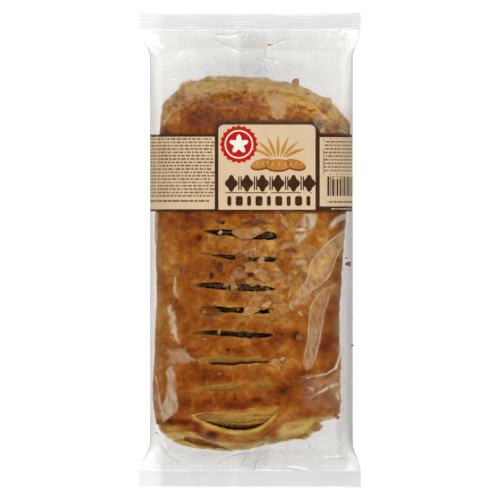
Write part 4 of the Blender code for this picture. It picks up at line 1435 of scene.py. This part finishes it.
def print_sides(inset, inks):
    """The side panels: rows of dashes, a box with lines and bars of seeded width, and the dashes of the
    lower strip."""
    draw = np.random.default_rng(5)
    left, right = girth_of(np.array([-44.6, 45.4]))
    small = dashes(left - 8, -15.6, [49.8 - 1.5 * i for i in range(18)], 0.74, draw, 0.5, 2.4)
    small += dashes(left - 8, -15.4, [22.0], 0.85, draw, 1.0, 4.5, 0.4)
    small += dashes(32.2, right + 8, [48.6 - 1.62 * i for i in range(9)], 0.7, draw, 0.5, 2.2)
    small += dashes(33.4, right + 8, [21.6], 0.8, draw)
    print_bars("small_print", small, inset, inks["faded"])
    lines = [(32.6, right + 6, 33.9, 34.15), (32.6, 32.85, 33.9, 50.0), (32.6, right + 6, 49.8, 50.0)]
    place = girth_of(34.8)
    while place < right + 4:
        wide = draw.choice([0.3, 0.45, 0.75, 1.0])
        lines.append((place, place + wide, 24.3, 33.0))
        place += wide + draw.choice([0.35, 0.5, 0.8])
    print_bars("box_lines_and_bars", lines, inset, inks["brown"])
    strip = dashes(girth_of(36.4), right + 6, [18.45], 0.55, draw, 0.6, 1.8, 0.5)
    print_bars("strip_dashes", strip, inset, inks["tan"])


def make_print(inks):
    """All that is printed on the band, each level of ink a step nearer the film's outside than the last."""
    level = [UNDER_FILM - INK_STEP * (2 + i) for i in range(4)]
    print_seal(level, inks)
    print_rolls(level, inks)
    print_friezes(level[0], inks["brown"])
    print_sides(level[0], inks)


# ------------------------------------------------------------------ materials
ADD, SUBTRACT, MULTIPLY, MULTIPLY_ADD, POWER, SCALE = (
    {"operation": name} for name in ("ADD", "SUBTRACT", "MULTIPLY", "MULTIPLY_ADD", "POWER", "SCALE"))
COLOURS = {"data_type": "RGBA"}


def hex_colour(code):
    """An sRGB hex colour as linear red, green, blue and a full alpha."""
    parts = [int(code[i : i + 2], 16) / 255 for i in (0, 2, 4)]
    return (*[p / 12.92 if p <= 0.04045 else ((p + 0.055) / 1.055) ** 2.4 for p in parts], 1.0)


def new_material(name):
    """An empty material, its node tree and the input that takes its surface."""
    material = bpy.data.materials.new(name)
    material.use_nodes = True
    tree = material.node_tree
    tree.nodes.clear()
    return material, tree, tree.nodes.new("ShaderNodeOutputMaterial").inputs["Surface"]


def node(tree, kind, settings=None, out=0, **links):
    """Adds a node and gives its output back, by name or number. Its settings are its own, and stops, as
    place and hex colour, for a colour ramp. Its inputs go by name or number: a socket is linked, a value is
    set."""
    made = tree.nodes.new("ShaderNode" + kind)
    for key, value in (settings or {}).items():
        if key != "stops":
            setattr(made, key, value)
            continue
        band = made.color_ramp.elements
        while len(band) < len(value):
            band.new(0.5)
        for element, (place, code) in zip(band, value):
            element.position = place
            element.color = hex_colour(code)
    for key, value in links.items():
        socket = made.inputs[int(key[1:]) if key[1:].isdigit() else key.replace("_", " ")]
        if isinstance(value, bpy.types.NodeSocket):
            tree.links.new(value, socket)
        else:
            socket.default_value = value
    return made.outputs[out]


def crust_finish():
    """Egg-washed, baked laminated dough: uneven golden to dark brown with a dull glaze and fine
    blisters."""
    material, tree, surface = new_material("egg_washed_crust")
    browned = ((0.0, "D0A458"), (0.2, "B67D33"), (0.4, "A05A18"), (0.55, "904A10"), (0.7, "7E3608"),
               (0.85, "642A0A"), (1.0, "4A200A"))
    bare = ((0.0, "664416"), (0.25, "9A6A28"), (0.5, "BA8A3A"), (0.75, "CEA450"), (1.0, "DEBC78"))
    place = node(tree, "TexCoord", out="Object")
    bake, dough, paste, tone = (
        node(tree, "Attribute", {"attribute_name": flag}, "Fac") for flag in CRUST_FLAGS)
    # blisters about 1.5 mm across and a grain about 0.5 mm across
    blister = node(tree, "TexNoise", out="Fac", Vector=place, Scale=650.0, Detail=3.0)
    grain = node(tree, "TexNoise", out="Fac", Vector=place, Scale=1900.0, Detail=3.0)
    jitter = node(tree, "Math", MULTIPLY_ADD, n0=blister, n1=0.36, n2=-0.18)
    shade = node(tree, "Math", ADD, n0=bake, n1=jitter)
    crust = node(tree, "ValToRGB", {"stops": browned}, n0=shade)
    pale = node(tree, "ValToRGB", {"stops": bare}, n0=tone)
    shown = node(tree, "Mix", COLOURS, 2, n0=dough, n6=crust, n7=pale)
    dark = node(tree, "Mix", COLOURS, 2, n0=paste, n6=shown, n7=hex_colour("38200E"))
    fleck = node(tree, "MapRange", n0=grain, n1=0.36, n2=0.68, n3=0.80, n4=1.17)
    colour = node(tree, "VectorMath", SCALE, n0=dark, Scale=fleck)
    rough = node(tree, "MapRange", n0=blister, n1=0.3, n2=0.7, n3=0.34, n4=0.56)
    bump = node(tree, "Bump", Strength=0.55, Distance=0.0006, Height=blister)
    fine = node(tree, "Bump", Strength=0.35, Distance=0.00025, Height=grain, Normal=bump)
    skin = node(tree, "BsdfPrincipled", Base_Color=colour, Roughness=rough, Normal=fine, IOR=1.45,
                Specular_IOR_Level=0.06)
    tree.links.new(skin, surface)
    return material


def grainy_finish(name, stops, scale, roughness, strength, distance):
    """A grainy food: its colour and its bumps follow one noise whose grains are about 1 mm across."""
    material, tree, surface = new_material(name)
    place = node(tree, "TexCoord", out="Object")
    grit = node(tree, "TexNoise", out="Fac", Vector=place, Scale=scale, Detail=3.0)
    colour = node(tree, "ValToRGB", {"stops": stops}, n0=grit)
    bump = node(tree, "Bump", Strength=strength, Distance=distance, Height=grit)
    skin = node(tree, "BsdfPrincipled", Base_Color=colour, Roughness=roughness, Normal=bump, IOR=1.45)
    tree.links.new(skin, surface)
    return material


def crumb_finish():
    """Crumbs of baked crust and toasted almond: dull, grainy and brown."""
    return grainy_finish("crust_crumb", ((0.3, "9A6038"), (0.55, "BE8656"), (0.75, "D6AA7A")), 1100.0, 0.7,
                         0.6, 0.0004)


def paste_finish():
    """Cooked almond paste: dark, grainy and a little wet."""
    return grainy_finish("almond_paste", ((0.3, "321E0C"), (0.5, "4A2E14"), (0.72, "6E4A26")), 900.0, 0.38,
                         0.7, 0.0006)


def almond_finish():
    """Sliced almonds under a sugar glaze: cream to toasted brown, with a painted highlight along the rim,
    strongest on the side that curls up, and thin enough for the crust to show through."""
    material, tree, surface = new_material("glazed_almond")
    toasted = ((0.1, "D2AC7E"), (0.3, "CA9454"), (0.55, "B8762E"), (0.8, "9A541C"), (1.0, "7A3A12"))
    place = node(tree, "TexCoord", out="Object")
    toast, rim = (node(tree, "Attribute", {"attribute_name": flag}, "Fac") for flag in ("toast", "rim"))
    # clouds about 2 mm across
    cloud = node(tree, "TexNoise", out="Fac", Vector=place, Scale=520.0, Detail=4.0)
    shade = node(tree, "Math", MULTIPLY_ADD, n0=cloud, n1=0.9, n2=toast)
    shade = node(tree, "Math", SUBTRACT, n0=shade, n1=0.40)
    body = node(tree, "ValToRGB", {"stops": toasted}, n0=shade)
    # painted highlight: the rim is lightened, most on the side that curls up
    edge = node(tree, "MapRange", n0=rim, n1=0.7, n2=0.95, n3=0.0, n4=0.9)
    edge = node(tree, "Math", MULTIPLY, n0=edge, n1=cloud)
    colour = node(tree, "Mix", COLOURS, 2, n0=edge, n6=body, n7=hex_colour("DCB684"))
    bump = node(tree, "Bump", Strength=0.3, Distance=0.0003, Height=cloud)
    skin = node(tree, "BsdfPrincipled", Base_Color=colour, Roughness=0.45, Normal=bump, IOR=1.47,
                Specular_IOR_Level=0.15)
    thin = node(tree, "BsdfTransparent")
    sheer = node(tree, "MapRange", n0=toast, n1=0.0, n2=0.5, n3=0.22, n4=0.62)
    rim_sheer = node(tree, "MapRange", n0=rim, n1=0.85, n2=1.0, n3=0.0, n4=0.36)
    sheer = node(tree, "Math", ADD, n0=sheer, n1=rim_sheer)
    mixed = node(tree, "MixShader", n0=sheer, n1=skin, n2=thin)
    tree.links.new(mixed, surface)
    return material


def film_finish():
    """Oriented polypropylene film, drawn both ways: clear where it clings to the glazed crust, milk-white
    where it stands free or is creased, with painted highlights in its veils and along its folds, a little
    greyish where it is seen edge on, darkened by painted shade down its right side and just beyond the
    pastry's upper end, and glossy in its folds."""
    material, tree, surface = new_material("clear_polypropylene_film")
    worn = ((0.0, "FAFAFA"), (0.13, "F8F8F7"), (0.35, "F2F1EF"), (0.6, "DAD8D4"), (1.0, "8C8A86"))
    place = node(tree, "TexCoord", out="Object")
    # how white the film is carries its painted highlights, and how much light it keeps back painted shade
    milk_and_highlight_flag, over, shine, grey, wall = (
        node(tree, "Attribute", {"attribute_name": flag}, "Fac")
        for flag in ("milky", "over", "shine", "grey", "wall"))
    # crinkles about 4 mm across
    crinkle = node(tree, "TexNoise", out="Fac", Vector=place, Scale=260.0, Detail=3.0)
    bump = node(tree, "Bump", Strength=0.25, Distance=0.0005, Height=crinkle)
    facing = node(tree, "LayerWeight", out="Facing", Blend=0.5, Normal=bump)
    # the side walls are clear face on, and cloud over where they are looked along
    along = node(tree, "MapRange", n0=facing, n1=0.06, n2=0.32, n3=-1.0, n4=0.0)
    kept = node(tree, "Math", MULTIPLY_ADD, n0=along, n1=wall, n2=1.0)
    milky = node(tree, "Math", MULTIPLY, n0=kept, n1=milk_and_highlight_flag)
    held_back = node(tree, "Math", MULTIPLY, n0=kept, n1=grey)
    tint = node(tree, "MapRange", n0=held_back, n1=0.0, n2=MOST_GREY, n3=1.0, n4=0.736)
    # it mirrors less where it clings
    clinging = node(tree, "MapRange", n0=over, n1=0.0, n2=1.0, n3=1.0, n4=0.55)
    facing = node(tree, "Math", MULTIPLY, n0=facing, n1=clinging)
    grazing = node(tree, "Math", POWER, n0=facing, n1=5.0)
    mirrored = node(tree, "Math", MULTIPLY_ADD, n0=grazing, n1=0.6, n2=shine)
    edge_on = node(tree, "ValToRGB", {"stops": worn}, n0=facing)
    colour = node(tree, "VectorMath", SCALE, n0=edge_on, Scale=tint)
    clear = node(tree, "BsdfTransparent", Color=colour)
    # light that comes back up from the crust warms the haze
    warmth = node(tree, "MapRange", n0=milk_and_highlight_flag, n1=0.25, n2=0.60, n3=1.0, n4=0.6)
    warmth = node(tree, "Math", MULTIPLY, n0=warmth, n1=over)
    haze = node(tree, "Mix", COLOURS, 2, n0=warmth, n6=hex_colour("E8E8E7"), n7=hex_colour("E8D2AA"))
    haze = node(tree, "VectorMath", SCALE, n0=haze, Scale=tint)
    white = node(tree, "BsdfDiffuse", Color=haze)
    gloss = node(tree, "BsdfGlossy", Color=(1, 1, 1, 1), Roughness=0.12, Normal=bump)
    body = node(tree, "MixShader", n0=milky, n1=clear, n2=white)
    skin = node(tree, "MixShader", n0=mirrored, n1=body, n2=gloss)
    tree.links.new(skin, surface)
    return material


# Two close tones of each ink
INKS = {
    "brown": ("3E2210", "46281A"),
    "tan": ("DABF9A", "DEC5A4"),
    "red": ("BC1008", "C8180E"),
    "white": ("F0ECE2", "F4F0E8"),
    "gold": ("C8913E", "D8A658"),
    "rust": ("7E4018", "8C4A20"),
    "crumb": ("B4702E", "C4823C"),
    "faded": ("7C5C40", "8A6A4C"),
}


def ink_finish(name, code, tint):
    """Flexographic ink on the film's inner face: even, satin, with the slight cloudiness of a thin print.
    The film bonded over it has taken its gloss."""
    material, tree, surface = new_material(name)
    place = node(tree, "TexCoord", out="Object")
    # clouds about 8 mm across
    cloud = node(tree, "TexNoise", out="Fac", Vector=place, Scale=120.0, Detail=2.0)
    colour = node(tree, "ValToRGB", {"stops": ((0.3, code), (0.7, tint))}, n0=cloud)
    skin = node(tree, "BsdfPrincipled", Base_Color=colour, Roughness=0.45, IOR=1.5, Specular_IOR_Level=0.08)
    tree.links.new(skin, surface)
    return material


# ------------------------------------------------------------------ light, floor and camera
TABLE_HALF = 1.5
TABLE_DROP = 0.0005  # the table's top lies this far under the pack
# Softboxes: name, place, the point they face, width, height, power
SOFTBOXES = (
    ("left_softbox", (-0.70, -0.18, 0.50), (0, -0.18, 0), 0.5, 0.4, 1.2),
    ("right_softbox", (0.70, -0.03, 0.50), (0, -0.03, 0), 0.5, 0.4, 0.9),
    ("top_softbox", (0.0, 0.48, 0.77), (0, 0, 0), 0.9, 0.4, 5.9),
    ("bottom_softbox", (0.0, -0.58, 0.69), (0, 0, 0), 0.9, 0.4, 5.5),
)
LENS, SENSOR = 900.0, 36.0
VIEW_WIDTH = 0.225  # width of the view at the height of the pack's middle
VIEW_LIFT = 0.007


def soft_light(name, place, aim, width, height, power):
    """A rectangular softbox of the given size, facing the point it is aimed at."""
    lamp = bpy.data.lights.new(name, "AREA")
    lamp.shape = "RECTANGLE"
    lamp.size, lamp.size_y, lamp.energy = width, height, power
    holder = bpy.data.objects.new(name, lamp)
    holder.location = place
    holder.rotation_euler = (Vector(aim) - Vector(place)).to_track_quat("-Z", "Y").to_euler()
    bpy.context.scene.collection.objects.link(holder)


def make_table():
    """A white table that glows a little."""
    material, tree, surface = new_material("white_table")
    white = node(tree, "BsdfPrincipled", Base_Color=hex_colour("BEBEBE"), Roughness=0.8,
                 Emission_Color=(1, 1, 1, 1), Emission_Strength=0.82)
    tree.links.new(white, surface)
    mesh = bpy.data.meshes.new("table")
    signs = ((-1, -1), (1, -1), (1, 1), (-1, 1))
    corners = [(TABLE_HALF * x, TABLE_HALF * y, -TABLE_DROP) for x, y in signs]
    mesh.from_pydata(corners, [], [(0, 1, 2, 3)])
    mesh.materials.append(material)
    table = bpy.data.objects.new("table", mesh)
    bpy.context.scene.collection.objects.link(table)


def make_stage():
    """The table, softboxes on all four sides, a dim white surround and a camera straight above."""
    scene = bpy.context.scene
    make_table()
    for softbox in SOFTBOXES:
        soft_light(*softbox)

    world = bpy.data.worlds.new("studio")
    scene.world = world
    world.use_nodes = True
    surround = world.node_tree.nodes["Background"].inputs
    surround[0].default_value = (1, 1, 1, 1)
    surround[1].default_value = 0.04

    lens = bpy.data.cameras.new("camera")
    lens.lens, lens.sensor_width, lens.clip_end = LENS, SENSOR, 10.0
    camera = bpy.data.objects.new("camera", lens)
    camera.location = (0.0, 0.0, VIEW_WIDTH * LENS / SENSOR + VIEW_LIFT)
    scene.collection.objects.link(camera)
    scene.camera = camera
    scene.view_settings.view_transform = "Standard"


film = film_finish()
make_film(film)
make_lap_seam(film)
make_crease_lines(film)
crust = crust_finish()
make_pastry(crust)
make_filling(paste_finish())
almond = almond_finish()
make_slices("almond_slices", np.array(SLICES), almond)
make_slices("small_almond_slices", scattered_slices(60, 90), almond, 0.15)
make_slices("dough_leaves", np.array(LEAVES), crust)
inks = {name: ink_finish(name + "_ink", *codes) for name, codes in INKS.items()}
make_band(inks["brown"], inks["tan"])
make_print(inks)
make_crumbs(crumb_finish())
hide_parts(PACK)
make_stage()
